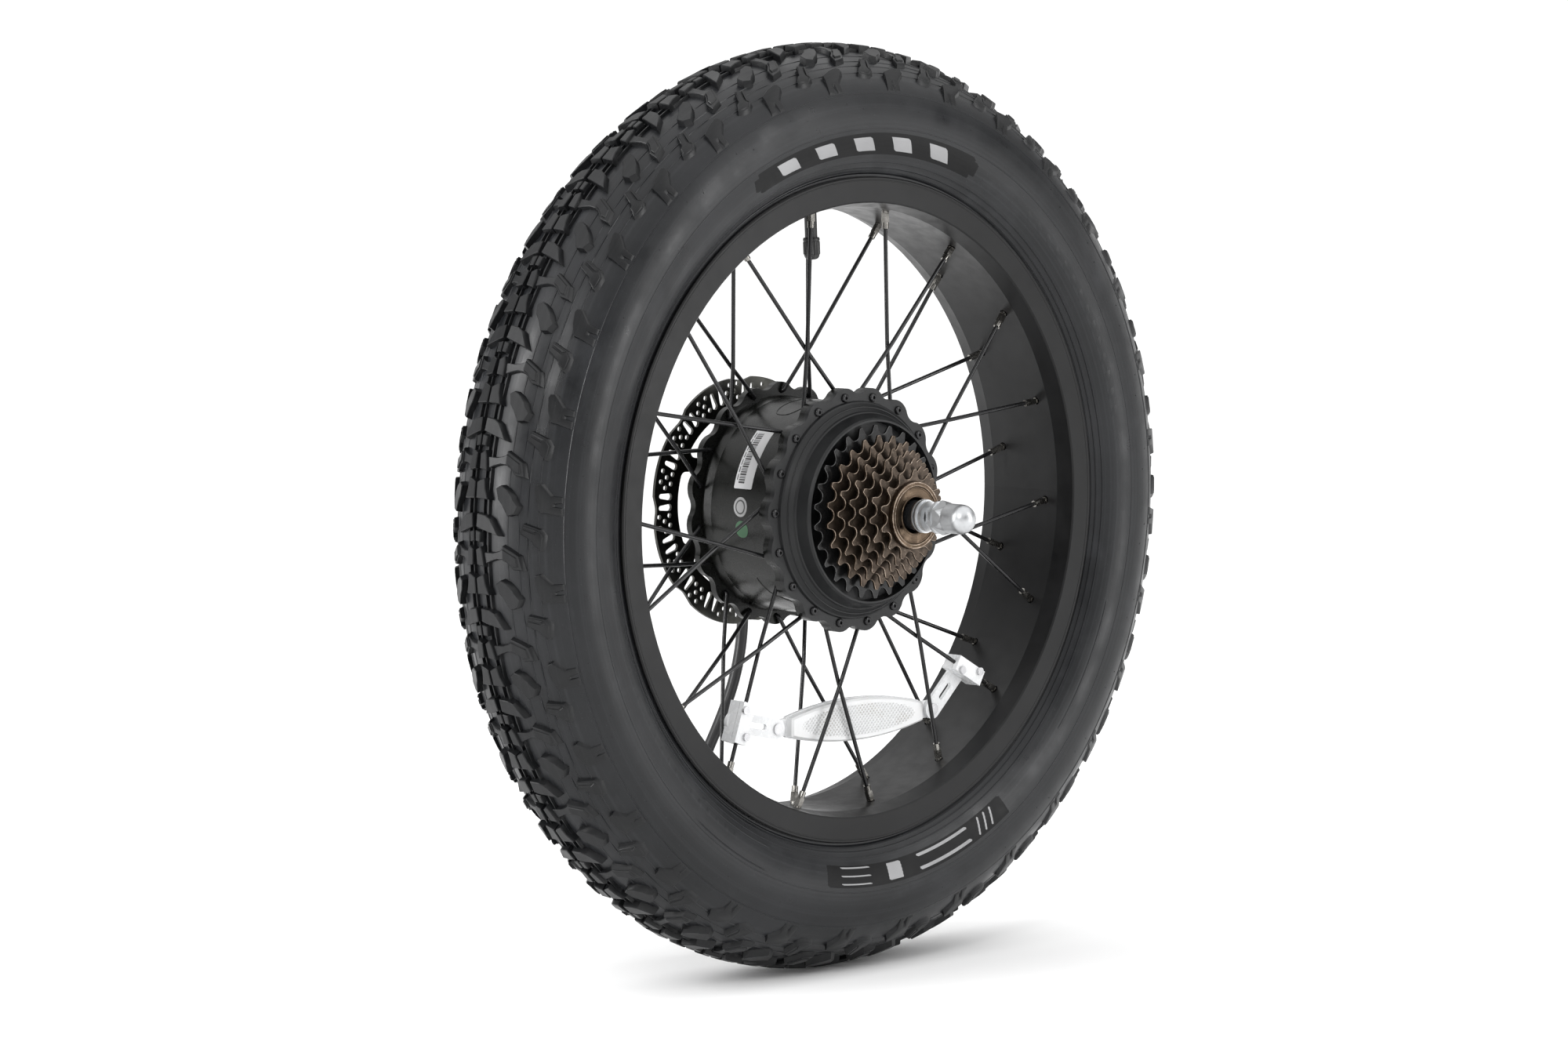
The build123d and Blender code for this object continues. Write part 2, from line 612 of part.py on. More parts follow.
def disc_openings():
    """Round holes and tapered slots in the track, and the windows between the arms."""
    wide, narrow, reach = 2.2, 1.5, 7.4
    tapered = Circle(wide) + Pos(reach, 0) * Circle(narrow)
    tapered += make_face(Polyline((0, -wide), (reach, -narrow), (reach, narrow), (0, wide), close=True))
    small = []
    for start in steps(2 * DISC_LOBES, 4.0):
        small += [
            around(Circle(DISC_HOLE_RADIUS), 75.4, [start + 0.8, start + 6.2]),
            around(Circle(DISC_HOLE_RADIUS), 71.0, [start + 3.4, start + 8.8]),
            around(Circle(DISC_HOLE_RADIUS), 66.6, [start + 0.9, start + 6.2]),
            around(tapered, 66.6, [start + 13.2, start + 19.0]),
        ]
    window_edges = []
    inner, outer, lean = 31.0, 59.0, 24.0
    for start in steps(DISC_ARMS, 10.0):
        inner_a = polar_point(inner, start + 9)
        inner_mid = polar_point(inner, start + 30)
        inner_b = polar_point(inner, start + 51)
        outer_a = polar_point(outer, start + 5 + lean)
        outer_mid = polar_point(outer, start + 30 + lean)
        outer_b = polar_point(outer, start + 55 + lean)
        window = make_face(Curve() + [
            ThreePointArc(inner_a, inner_mid, inner_b),
            Line(inner_b, outer_b),
            ThreePointArc(outer_b, outer_mid, outer_a),
            Line(outer_a, inner_a),
        ])
        window_edges.append(fillet(window.vertices(), 4.0))
    return small + window_edges


def make_brake_disc():
    outline = disc_outline() - Circle(DISC_SPIGOT_RADIUS + 0.1)
    outline -= around(Circle(DISC_BOLT_RADIUS + 0.2), DISC_BOLT_CIRCLE, steps(DISC_ARMS))
    for opening in disc_openings():
        outline -= opening
    save("brake_disc", plate(outline, DISC_SEAT_Y, DISC_SEAT_Y + DISC_THICKNESS))
    bolts = []
    face = DISC_SEAT_Y + DISC_THICKNESS
    for angle in steps(DISC_ARMS):
        x, z = polar_point(DISC_BOLT_CIRCLE, angle)
        head = plate(Pos(x, z) * Circle(4.0), face + 0.02, face + 2.6)
        head = fillet(head.faces().sort_by(Axis.Y)[-1].edges(), 1.2)
        shank = plate(Pos(x, z) * Circle(DISC_BOLT_RADIUS), DISC_SEAT_Y - 10, face + 0.1)
        socket = plate(Pos(x, z) * hexagon(3.0), face + 1.2, face + 3)
        bolts.append(head + shank - socket)
    save("disc_bolts", bolts)


# ---- gears -----------------------------------------------------------------------------------

def gear_outline(teeth, tip_radius, root_radius, thinning, phase):
    """An involute gear outline with a tooth centred on the phase angle."""
    pitch_radius = GEAR_MODULE * teeth / 2
    base_radius = pitch_radius * math.cos(PRESSURE_ANGLE)
    involute_at_pitch = math.tan(PRESSURE_ANGLE) - PRESSURE_ANGLE
    half_tooth = math.pi / (2 * teeth) - thinning / (2 * pitch_radius)
    flank_start = max(base_radius * 1.0005, root_radius)

    def flank_angle(radius):
        pressure = math.acos(min(1.0, base_radius / radius))
        return half_tooth + involute_at_pitch - (math.tan(pressure) - pressure)

    radii = [flank_start + (tip_radius - flank_start) * i / 4 for i in range(5)]
    edges = []
    for index in range(teeth):
        centre = math.radians(phase) + 2 * math.pi * index / teeth
        rising = [(r, centre - flank_angle(r)) for r in radii]
        falling = [(r, centre + flank_angle(r)) for r in reversed(radii)]
        following = centre + 2 * math.pi / teeth - flank_angle(radii[0])

        def at(radius, angle):
            return (radius * math.cos(angle), radius * math.sin(angle))

        edges.append(Spline(*[at(*p) for p in rising]))
        edges.append(ThreePointArc(at(*rising[-1]), at(tip_radius, centre), at(*falling[0])))
        edges.append(Spline(*[at(*p) for p in falling]))
        foot_end = falling[-1]
        if foot_end[0] > root_radius + 0.01:
            edges.append(Line(at(*foot_end), at(root_radius, foot_end[1])))
            edges.append(Line(at(root_radius, following), at(foot_end[0], following)))
        middle = (foot_end[1] + following) / 2
        edges.append(ThreePointArc(
            at(root_radius, foot_end[1]), at(root_radius, middle), at(root_radius, following)
        ))
    return make_face(Curve() + edges)


def make_gears():
    sun_pitch = GEAR_MODULE * SUN_TEETH / 2
    planet_pitch = GEAR_MODULE * PLANET_TEETH / 2
    ring_pitch = GEAR_MODULE * RING_TEETH / 2
    addendum = 0.95 * GEAR_MODULE
    dedendum = 1.2 * GEAR_MODULE
    sun = gear_outline(SUN_TEETH, sun_pitch + addendum, sun_pitch - dedendum, GEAR_BACKLASH, 90.0)
    sun_gear = plate(sun, GEAR_Y_LOW, GEAR_Y_HIGH) + disc(9.6, GEAR_Y_HIGH - 1, BELL_LOW_Y + 4)
    save("sun_gear", sun_gear - disc(AXLE_RADIUS + 0.35, GEAR_Y_LOW - 1, BELL_LOW_Y + 5))
    half_tooth = 180.0 / PLANET_TEETH
    for number, angle in enumerate(PLANET_ANGLES, start=1):
        outline = gear_outline(
            PLANET_TEETH, planet_pitch + addendum, planet_pitch - dedendum, GEAR_BACKLASH, angle + half_tooth
        )
        outline -= Circle(PLANET_PIN_RADIUS + PIN_CLEARANCE)
        outline -= around(Circle(3.2), 12.5, steps(6, angle))
        x, z = polar_point(PLANET_CIRCLE, angle)
        save(f"planet_gear_{number}", Pos(x, 0, z) * plate(outline, GEAR_Y_LOW, GEAR_Y_HIGH))
    # the ring's spaces are the outline of an outer gear with slightly wide teeth
    inner_radius = ring_pitch - 0.8 * GEAR_MODULE
    phase = 90.0 + 180.0 / RING_TEETH
    space = gear_outline(RING_TEETH, ring_pitch + dedendum, inner_radius, -GEAR_BACKLASH, phase)
    blank = Circle(SHELL_BORE - 0.05) - space
    save("ring_gear", plate(blank, GEAR_Y_LOW + 1, GEAR_Y_HIGH - 1))


def make_carrier():
    """The carrier plate with its pins, held on the axle by the one-way clutch."""
    plate_low, plate_high = -30.5, -26.5
    outline = Circle(24.0) + around(Circle(9.0), PLANET_CIRCLE, PLANET_ANGLES)
    outline -= Circle(15.0)
    outline -= around(Circle(PLANET_PIN_RADIUS), PLANET_CIRCLE, PLANET_ANGLES)
    body = plate(outline, plate_low, plate_high)
    body += ring(15.0, 18.0, -33.5, plate_high)
    save("planet_carrier", body)
    pins = []
    for angle in PLANET_ANGLES:
        x, z = polar_point(PLANET_CIRCLE, angle)
        pin = plate(Pos(x, z) * Circle(PLANET_PIN_RADIUS), plate_low, GEAR_Y_HIGH + 1.4)
        clip = plate(Pos(x, z) * Circle(6.0), GEAR_Y_HIGH + 0.4, GEAR_Y_HIGH + 1.2)
        shoulder = plate(Pos(x, z) * Circle(6.0), plate_high + 0.02, GEAR_Y_LOW - 0.4)
        pins.append(pin + clip + shoulder)
    save("planet_pins", pins)
    cam = plate(Circle(11.0) - Circle(AXLE_RADIUS + 0.02), -33.0, -26.8)
    rollers = [
        plate(Pos(*polar_point(12.98, a)) * Circle(1.93), -32.6, -27.2)
        for a in steps(8)
    ]
    save("one_way_clutch", cam, rollers)


# ---- motor -------------------------------------------------------------------------------------

def make_stator():
    core = Circle(STATOR_YOKE_RADIUS) - Circle(STATOR_BORE)
    tooth_length = STATOR_RADIUS - STATOR_YOKE_RADIUS + 1.0
    tooth = Rectangle(tooth_length, STATOR_TOOTH_WIDTH)
    angles = steps(STATOR_SLOTS)
    core += around(tooth, STATOR_RADIUS - 1.0 - tooth_length / 2, angles)
    shoe_ring = Circle(STATOR_RADIUS) - Circle(STATOR_RADIUS - SHOE_HEIGHT)
    slots = around(Rectangle(8, 2.6), STATOR_RADIUS, [a + 180.0 / STATOR_SLOTS for a in angles])
    core += shoe_ring - slots
    save("stator_core", plate(core, STATOR_LOW_Y, STATOR_HIGH_Y))
    coils = []
    coil_inner = STATOR_YOKE_RADIUS + COIL_YOKE_GAP
    coil_length = STATOR_RADIUS - SHOE_HEIGHT - COIL_SHOE_GAP - coil_inner
    centre_radius = coil_inner + coil_length / 2
    middle_y = (STATOR_LOW_Y + STATOR_HIGH_Y) / 2
    hole_width = STATOR_TOOTH_WIDTH + 2 * COIL_SLACK
    hole_length = STATOR_HIGH_Y - STATOR_LOW_Y + 2 * COIL_SLACK
    for angle in angles:
        outer = Box(coil_length, hole_length + 2 * COIL_WALL, hole_width + 2 * COIL_WALL)
        coil = outer - Box(coil_length + 2, hole_length, hole_width)
        coils.append(Rot(0, -angle, 0) * Pos(centre_radius, middle_y, 0) * coil)
    save("stator_windings", coils)
    hub = ring(18.6, STATOR_BORE - 0.02, STATOR_LOW_Y + 1, STATOR_HIGH_Y + 3)
    hub += ring(AXLE_RADIUS + 0.02, 19.5, STATOR_HIGH_Y - 5, STATOR_HIGH_Y + 3)
    save("stator_hub", hub)
    board = Circle(44.0) - Circle(25.5)
    board -= Pos(0, 40) * Rectangle(100, 60)
    save("hall_sensor_board", plate(board, STATOR_HIGH_Y + 3.4, STATOR_HIGH_Y + 5.0))


def make_rotor():
    """The magnet bell outside the stator, on a sleeve that carries the sun gear."""
    bell = ring(MAGNET_OUTER + 0.1, BELL_RADIUS, BELL_LOW_Y, BELL_HIGH_Y)
    bell += ring(9.62, BELL_RADIUS, BELL_LOW_Y, BELL_LOW_Y + 4)
    bell += ring(14.0, 17.0, BELL_LOW_Y, 21.0)
    windows = around(SlotCenterToCenter(14, 9), 32, steps(8))
    bell -= plate(windows, BELL_LOW_Y - 1, BELL_LOW_Y + 5)
    save("rotor_bell", bell)
    magnets = []
    for angle in steps(MAGNET_COUNT):
        half = math.radians(MAGNET_SPAN / 2)
        wedge_length = MAGNET_OUTER / math.cos(half)
        wedge = make_face(Polyline(
            (0, 0),
            (wedge_length, -MAGNET_OUTER * math.tan(half)),
            (wedge_length, MAGNET_OUTER * math.tan(half)),
            close=True,
        ))
        arc = (Circle(MAGNET_OUTER) - Circle(MAGNET_INNER)) & (Rot(0, 0, angle) * wedge)
        magnets.append(plate(arc, STATOR_LOW_Y, STATOR_HIGH_Y))
    save("rotor_magnets", magnets)


# ---- bearings --------------------------------------------------------------------------------

def bearing(inner, outer, y_low, y_high, ball_share, count):
    """Inner ring, outer ring and the balls with their cage, as three results."""
    pitch = (inner + outer) / 2
    ball = pitch * ball_share
    middle = (y_low + y_high) / 2
    track = revolve(Pos(pitch, middle) * Circle(ball + 0.06), axis=Axis.Y)
    inner_ring = ring(inner, pitch - ball * 0.62, y_low, y_high) - track
    outer_ring = ring(pitch + ball * 0.62, outer, y_low, y_high) - track
    cage = ring(pitch - 0.5, pitch + 0.5, middle - ball * 0.8, middle + ball * 0.8)
    balls = []
    for angle in steps(count):
        place = Pos(*polar_point(pitch, angle, middle))
        balls.append(place * Sphere(ball))
        cage -= place * Sphere(ball + 0.05)
    return inner_ring, outer_ring, balls + [cage]


def make_bearings():
    share = 0.22
    brake = bearing(AXLE_RADIUS + 0.01, 17.49, 52.5, 63.5, share, 9)
    drive = bearing(AXLE_RADIUS + 0.01, 13.99, -49.5, -42.5, share, 11)
    save("hub_bearing_inner_rings", brake[0], drive[0])
    save("hub_bearing_outer_rings", brake[1], drive[1])
    save("hub_bearing_balls", brake[2], drive[2])
    gear_end = bearing(AXLE_RADIUS + 0.01, 13.99, -1.5, 5.5, share, 11)
    far_end = bearing(AXLE_RADIUS + 0.01, 13.99, 13.5, 20.5, share, 11)
    save("rotor_bearing_inner_rings", gear_end[0], far_end[0])
    save("rotor_bearing_outer_rings", gear_end[1], far_end[1])
    save("rotor_bearing_balls", gear_end[2], far_end[2])
    save("brake_side_seal", ring(10.7, 14.98, 65.0, 71.0))


# ---- freewheel ---------------------------------------------------------------------------------

def sprocket_outline(teeth):
    pitch_radius = CHAIN_PITCH / (2 * math.sin(math.pi / teeth))
    tip_radius = pitch_radius + SPROCKET_TIP_RISE
    half_tip = 0.95 / tip_radius
    edges = []
    for index in range(teeth):
        angle = 2 * math.pi * index / teeth
        outward = Vector(math.cos(angle), math.sin(angle))
        sideways = Vector(-math.sin(angle), math.cos(angle))
        seat = outward * pitch_radius
        reach = math.radians(62)
        across = sideways * ROLLER_RADIUS * math.sin(reach)
        first = seat - outward * ROLLER_RADIUS * math.cos(reach) - across
        last = seat - outward * ROLLER_RADIUS * math.cos(reach) + across
        deepest = seat - outward * ROLLER_RADIUS
        tooth = angle + math.pi / teeth
        tip_a = Vector(math.cos(tooth - half_tip), math.sin(tooth - half_tip)) * tip_radius
        tip_b = Vector(math.cos(tooth + half_tip), math.sin(tooth + half_tip)) * tip_radius
        turn = 2 * math.pi / teeth
        following = Vector(
            first.X * math.cos(turn) - first.Y * math.sin(turn),
            first.X * math.sin(turn) + first.Y * math.cos(turn),
        )
        edges.append(ThreePointArc(first, deepest, last))
        edges += [Line(last, tip_a), Line(tip_a, tip_b), Line(tip_b, following)]
    return make_face(Curve() + edges)


def make_sprockets():
    for number, teeth in enumerate(SPROCKET_TEETH):
        y_high = SPROCKET_FIRST_Y - SPROCKET_STEP * number
        y_low = y_high - SPROCKET_THICKNESS
        bore = FREEWHEEL_LARGE_RADIUS if y_low > FREEWHEEL_STEP_Y else FREEWHEEL_SMALL_RADIUS
        outline = sprocket_outline(teeth) - Circle(bore + 0.05)
        root = CHAIN_PITCH / (2 * math.sin(math.pi / teeth)) - ROLLER_RADIUS
        room = root - bore
        if room > 7:
            hole = min(2.6, room / 5)
            outline -= around(Circle(hole), root - hole - 2.2, steps(teeth // 2, 5.0 * number))
        save(f"sprocket_{teeth}t", plate(outline, y_low, y_high))


def ratchet_outline():
    """The inner edge of the freewheel's outer body: saw teeth that face one way."""
    points = []
    for angle in steps(RATCHET_TEETH):
        points.append(polar_point(RATCHET_TIP, angle))
        points.append(polar_point(RATCHET_ROOT, angle + 1.0))
        points.append(polar_point(RATCHET_ROOT, angle + 6.0))
    return make_face(Polyline(*points, close=True))


def make_freewheel():
    outer = turned(
        (21.4, FREEWHEEL_HIGH_Y),
        (FREEWHEEL_LARGE_RADIUS, FREEWHEEL_HIGH_Y),
        (FREEWHEEL_LARGE_RADIUS, FREEWHEEL_STEP_Y),
        (FREEWHEEL_SMALL_RADIUS, FREEWHEEL_STEP_Y),
        (FREEWHEEL_SMALL_RADIUS, FREEWHEEL_LOW_Y),
        (18.0, FREEWHEEL_LOW_Y),
        (18.0, FREEWHEEL_STEP_Y + 3),
        (20.5, FREEWHEEL_STEP_Y + 3),
        (20.5, PAWL_LOW_Y - 1),
        (19.0, PAWL_LOW_Y - 1),
        (19.0, PAWL_HIGH_Y + 1),
        (21.4, PAWL_HIGH_Y + 1),
    )
    outer = outer - plate(ratchet_outline(), PAWL_LOW_Y - 1, PAWL_HIGH_Y + 1)
    save("freewheel_outer_body", outer)
    inner = turned(
        (THREAD_BOSS_RADIUS + 0.05, FREEWHEEL_HIGH_Y),
        (20.3, FREEWHEEL_HIGH_Y),
        (20.3, PAWL_LOW_Y - 2),
        (17.2, PAWL_LOW_Y - 2),
        (17.2, FREEWHEEL_LOW_Y + 2.4),
        (FREEWHEEL_BORE, FREEWHEEL_LOW_Y + 2.4),
        (FREEWHEEL_BORE, THREAD_BOSS_END_Y - 0.5),
        (THREAD_BOSS_RADIUS + 0.05, THREAD_BOSS_END_Y - 0.5),
    )
    removal_slots = around(Rectangle(3.0, 2.4), FREEWHEEL_BORE + 0.6, steps(12))
    inner -= plate(removal_slots, FREEWHEEL_LOW_Y, THREAD_BOSS_END_Y - 4)
    pocket = make_face(Polyline((18.0, -1.8), (23.0, -1.8), (23.0, 8.6), (18.0, 8.6), close=True))
    for angle in (0, 180):
        inner -= plate(Rot(0, 0, angle) * pocket, PAWL_LOW_Y - 0.1, PAWL_HIGH_Y + 0.1)
    save("freewheel_inner_body", inner)
    pawl = make_face(Polyline((18.2, -1.5), (19.9, -1.2), (20.2, 0.5), (18.5, 8.2), (18.2, 8.0), close=True))
    for number, angle in enumerate((0, 180), start=1):
        save(f"pawl_{number}", plate(Rot(0, 0, angle) * pawl, PAWL_LOW_Y, PAWL_HIGH_Y))
    cone = ring(FREEWHEEL_BORE + 0.1, 17.6, FREEWHEEL_LOW_Y + 0.1, FREEWHEEL_LOW_Y + 2.3)
    cone -= plate(around(Circle(1.0), 14.6, (25.0, 205.0)), FREEWHEEL_LOW_Y - 1, FREEWHEEL_LOW_Y + 1.6)
    save("freewheel_cone", cone)


# ---- axle and its hardware -----------------------------------------------------------------------

def make_axle():
    seat = DROPOUT_HALF_SPACING
    body = disc(AXLE_RADIUS, -seat + 3, seat - 1.5)
    flats = Rectangle(2 * AXLE_FLAT_HALF, 4 * AXLE_RADIUS)
    ends = disc(AXLE_THREAD_RADIUS, AXLE_DRIVE_END_Y, AXLE_BRAKE_END_Y)
    middle = disc(4 * AXLE_RADIUS, -seat + 3, seat - 1.5)
    ends = (ends - middle) & plate(flats, AXLE_DRIVE_END_Y - 1, AXLE_BRAKE_END_Y + 1)
    body = body + ends
    body = body - disc(CABLE_RADIUS + 0.1, STATOR_HIGH_Y + 4, CABLE_Y + 4)
    slot = rod((0, STATOR_HIGH_Y + 7, 0), (0, STATOR_HIGH_Y + 7, -20), CABLE_RADIUS)
    outlet = rod(OUTLET_START, GROMMET_START, CABLE_RADIUS + 0.1)
    save("axle", body - slot - outlet)


def make_axle_hardware():
    seat = DROPOUT_HALF_SPACING
    bore = AXLE_RADIUS + 0.02
    drive = [
        ring(bore, 9.4, -87.9, -50.0),
        ring(bore, 10.2, -89.4, -87.9),
        ring(bore, 9.0, -90.2, -89.4),
        ring(bore, 10.2, -92.0, -90.2),
        ring(AXLE_THREAD_RADIUS + 0.02, 9.4, -seat, -92.0),
    ]
    tip = CABLE_ROUTE[0]
    outlet = rod(OUTLET_START, tip, 6.3)
    sleeve = ring(bore, 10.4, 63.6, seat - 1.5) - outlet
    brake = [sleeve, ring(AXLE_THREAD_RADIUS + 0.02, 10.4, seat - 1.5, seat)]
    save("axle_washers", drive, brake)
    start = -seat - DROPOUT_GAP
    nut = plate(Circle(9.6), start - 2.4, start)
    hexagon_body = plate(hexagon(NUT_ACROSS_FLATS), start - 14.5, start - 2.4)
    corner_trim = turned(
        (0, start - 2.4), (11.2, start - 2.4), (11.2, start - 13.0), (9.3, start - 14.5), (0, start - 14.5)
    )
    nut += hexagon_body & corner_trim
    dome_base = start - DOME_BASE
    shoulder = start - DOME_SHOULDER
    top = start - DOME_HEIGHT
    shoulder_point = (0.73 * DOME_RADIUS, (shoulder + 2.6 * top) / 3.6)
    dome = Curve() + [
        Line((0, dome_base), (DOME_RADIUS, dome_base)),
        Line((DOME_RADIUS, dome_base), (DOME_RADIUS, shoulder)),
        ThreePointArc((DOME_RADIUS, shoulder), shoulder_point, (DOME_TIP_RADIUS, top)),
        Line((DOME_TIP_RADIUS, top), (0, top)),
        Line((0, top), (0, dome_base)),
    ]
    nut += revolve(make_face(dome), axis=Axis.Y)
    nut -= disc(NUT_BORE, AXLE_DRIVE_END_Y - 1, start + 1)
    save("drive_side_acorn_nut", nut)
    start = seat + DROPOUT_GAP
    plain = plate(hexagon(NUT_ACROSS_FLATS), start, start + 9.0)
    trim = turned(
        (0, start), (9.6, start), (10.9, start + 0.8), (10.9, start + 8.2), (9.6, start + 9), (0, start + 9)
    )
    save("brake_side_nut", (plain & trim) - disc(NUT_BORE, start - 1, start + 10))


# ---- cable --------------------------------------------------------------------------------------------

def cable_radii(route):
    """The largest fair radius at each corner: 0.45 of the shorter run over tan of half the turn."""
    radii = []
    for before, here, after in zip(route, route[1:], route[2:]):
        first = Vector(*here) - Vector(*before)
        second = Vector(*after) - Vector(*here)
        turn = math.radians(first.get_angle(second))
        radii.append(0.45 * min(first.length, second.length) / math.tan(turn / 2))
    return radii


def make_cable():
    radii = cable_radii(CABLE_ROUTE)
    tube, path = swept(CABLE_ROUTE, radii, CABLE_RADIUS)
    save("motor_cable", tube)
    section = math.pi * CABLE_RADIUS ** 2
    print("cable radii", [round(r, 1) for r in radii])
    print("cable length", round(path.length, 2), "tube volume", round(tube.volume, 1),
          "section x length", round(section * path.length, 1))
    start = Vector(*GROMMET_START)
    tip = Vector(*CABLE_ROUTE[0])
    along = (tip - start).normalized()
    grommet = rod(start, start + along * 5, 6.2) + rod(start + along * 5, tip, 5.9, 4.3)
    save("cable_grommet", grommet)
    last = Vector(*CABLE_ROUTE[-1])
    heading = (last - Vector(*CABLE_ROUTE[-2])).normalized()
    neck = last + heading * 9
    end = last + heading * CONNECTOR_LENGTH
    body = rod(last, neck, 4.6, 6.4) + rod(neck, end, 6.9)
    collar = rod(neck + heading * 8, neck + heading * 14, 7.8)
    hollow = rod(end - heading * 8, end, 5.4)
    pins = [
        rod(
            end - heading * 8.5 + Vector(2.6 * math.cos(a), 2.6 * math.sin(a), 0),
            end - heading * 2 + Vector(2.6 * math.cos(a), 2.6 * math.sin(a), 0),
            0.6,
        )
        for a in (0, 2 * math.pi / 3, 4 * math.pi / 3)
    ]
    connector = body + collar - hollow
    for pin in pins:
        connector += pin
    save("cable_connector", connector)


# ---- reflector -----------------------------------------------------------------------------------------

def lens_outline(inset=0.0):
    """A long lozenge with bowed top and bottom edges and blunt ends."""
    left = REFLECTOR_LENS_LEFT_X + inset
    right = REFLECTOR_LENS_RIGHT_X - inset
    middle = (left + right) / 2
    top = REFLECTOR_Z + REFLECTOR_HALF_HEIGHT - inset
    low = REFLECTOR_Z - REFLECTOR_HALF_HEIGHT + inset
    end_half = 6.5 - inset
    return make_face(Curve() + [
        ThreePointArc((left, REFLECTOR_Z + end_half), (middle, top), (right, REFLECTOR_Z + end_half)),
        Line((right, REFLECTOR_Z + end_half), (right, REFLECTOR_Z - end_half)),
        ThreePointArc((right, REFLECTOR_Z - end_half), (middle, low), (left, REFLECTOR_Z - end_half)),
        Line((left, REFLECTOR_Z - end_half), (left, REFLECTOR_Z + end_half)),
    ])


def make_reflector_body():
    """The backing tray with an ear at each end, and the clear lens set into its front."""
    back = plate(lens_outline(), REFLECTOR_BACK_Y - TRAY_THICKNESS, REFLECTOR_BACK_Y)
    ear_front = REFLECTOR_BACK_Y - TRAY_THICKNESS
    for lens_x, pivot_x in (
        (REFLECTOR_LENS_LEFT_X, REFLECTOR_LEFT_X),
        (REFLECTOR_LENS_RIGHT_X, REFLECTOR_RIGHT_X),
    ):
        ear = Pos((lens_x + pivot_x) / 2, REFLECTOR_Z) * Rectangle(abs(pivot_x - lens_x), EAR_WIDTH)
        ear += Pos(pivot_x, REFLECTOR_Z) * Circle(EAR_WIDTH / 2)
        ear -= Pos(pivot_x, REFLECTOR_Z) * Circle(RIVET_RADIUS)
        back += plate(ear, ear_front, REFLECTOR_BACK_Y)
    save("reflector_back", back)
    lens = plate(lens_outline(0.6), REFLECTOR_FRONT_Y, ear_front - 0.02)
    lens = chamfer(lens.faces().sort_by(Axis.Y)[0].edges(), 1.2)
    save("reflector_lens", lens - plate(lens_outline(2.4), REFLECTOR_FRONT_Y + 2.5, ear_front))


def clamp_frame(index, share):
    """A plane on a drive-side spoke: x along it towards the rim, z away from the wheel."""
    _, _, cross, rim = spoke_points(index, True)
    along = (rim - cross).normalized()
    outward = Vector(0, -1, 0) - along * Vector(0, -1, 0).dot(along)
    return Plane(origin=cross + (rim - cross) * share, x_dir=along, z_dir=outward)


def make_reflector_mounting():
    """Two slotted arms, each with a clamp closed on one spoke by two screws, and the pivots."""
    arms, clamps, fasteners = [], [], []
    arm_high = REFLECTOR_BACK_Y - TRAY_THICKNESS - 0.05
    arm_low = arm_high - ARM_THICKNESS
    for index, share, pivot_x in REFLECTOR_CLAMPS:
        frame = clamp_frame(index, share)
        centre = frame.origin
        bore = frame * Rot(0, 90, 0) * Cylinder(SPOKE_RADIUS + 0.02, 2 * CLAMP_LENGTH)
        depth = abs(centre.Y - arm_high) - 0.15
        inner_half = frame * Pos(0, 0, -0.15 - depth / 2) * Box(CLAMP_LENGTH, CLAMP_WIDTH, depth)
        outer_half = frame * Pos(0, 0, 0.15 + CLAMP_DEPTH / 2) * Box(CLAMP_LENGTH, CLAMP_WIDTH, CLAMP_DEPTH)
        reach = Vector(centre.X - pivot_x, centre.Z - REFLECTOR_Z)
        length = reach.length
        lean = math.degrees(math.atan2(reach.Y, reach.X))
        outline = Pos(length / 2, 0) * SlotCenterToCenter(length, ARM_WIDTH) - Circle(RIVET_RADIUS)
        outline -= Pos(length * 0.45, 0) * SlotCenterToCenter(length * 0.3, 3.4)
        outline = Pos(pivot_x, REFLECTOR_Z) * Rot(0, 0, lean) * outline
        arm = plate(outline, arm_low, arm_high) + inner_half
        screws = []
        for side in (-1, 1):
            place = frame * Pos(side * CLAMP_LENGTH * 0.3, side * 3.0, 0)
            shank = place * Pos(0, 0, 0.9) * Cylinder(CLAMP_SCREW_RADIUS, 2 * CLAMP_DEPTH)
            head = place * Pos(0, 0, 0.17 + CLAMP_DEPTH + 0.9) * Cylinder(2.5, 1.8)
            screws.append(shank + head)
        arms.append(arm - bore - screws)
        clamps.append(outer_half - bore - screws)
        fasteners.extend(screws)
        pin = ring(0, RIVET_RADIUS - 0.02, arm_low - 0.1, REFLECTOR_BACK_Y + 0.1)
        front_head = ring(0, RIVET_HEAD_RADIUS, arm_low - 1.3, arm_low - 0.02)
        rear_head = ring(0, RIVET_HEAD_RADIUS, REFLECTOR_BACK_Y + 0.02, REFLECTOR_BACK_Y + 1.2)
        fasteners.append(Pos(pivot_x, 0, REFLECTOR_Z) * (pin + front_head + rear_head))
    save("reflector_arms", arms)
    save("reflector_clamps", clamps)
    save("reflector_fasteners", fasteners)


def main():
    os.makedirs("parts", exist_ok=True)
    make_tyre()
    make_inner_tube()
    make_rim()
    make_rim_tape()
    make_valve()
    make_spokes(True)
    make_spokes(False)
    make_nipples()
    make_hub_shell()
    make_drive_cover()
    make_cover_screws()
    make_brake_disc()
    make_gears()
    make_carrier()
    make_stator()
    make_rotor()
    make_bearings()
    make_sprockets()
    make_freewheel()
    make_axle()
    make_axle_hardware()
    make_cable()
    make_reflector_body()
    make_reflector_mounting()


main()
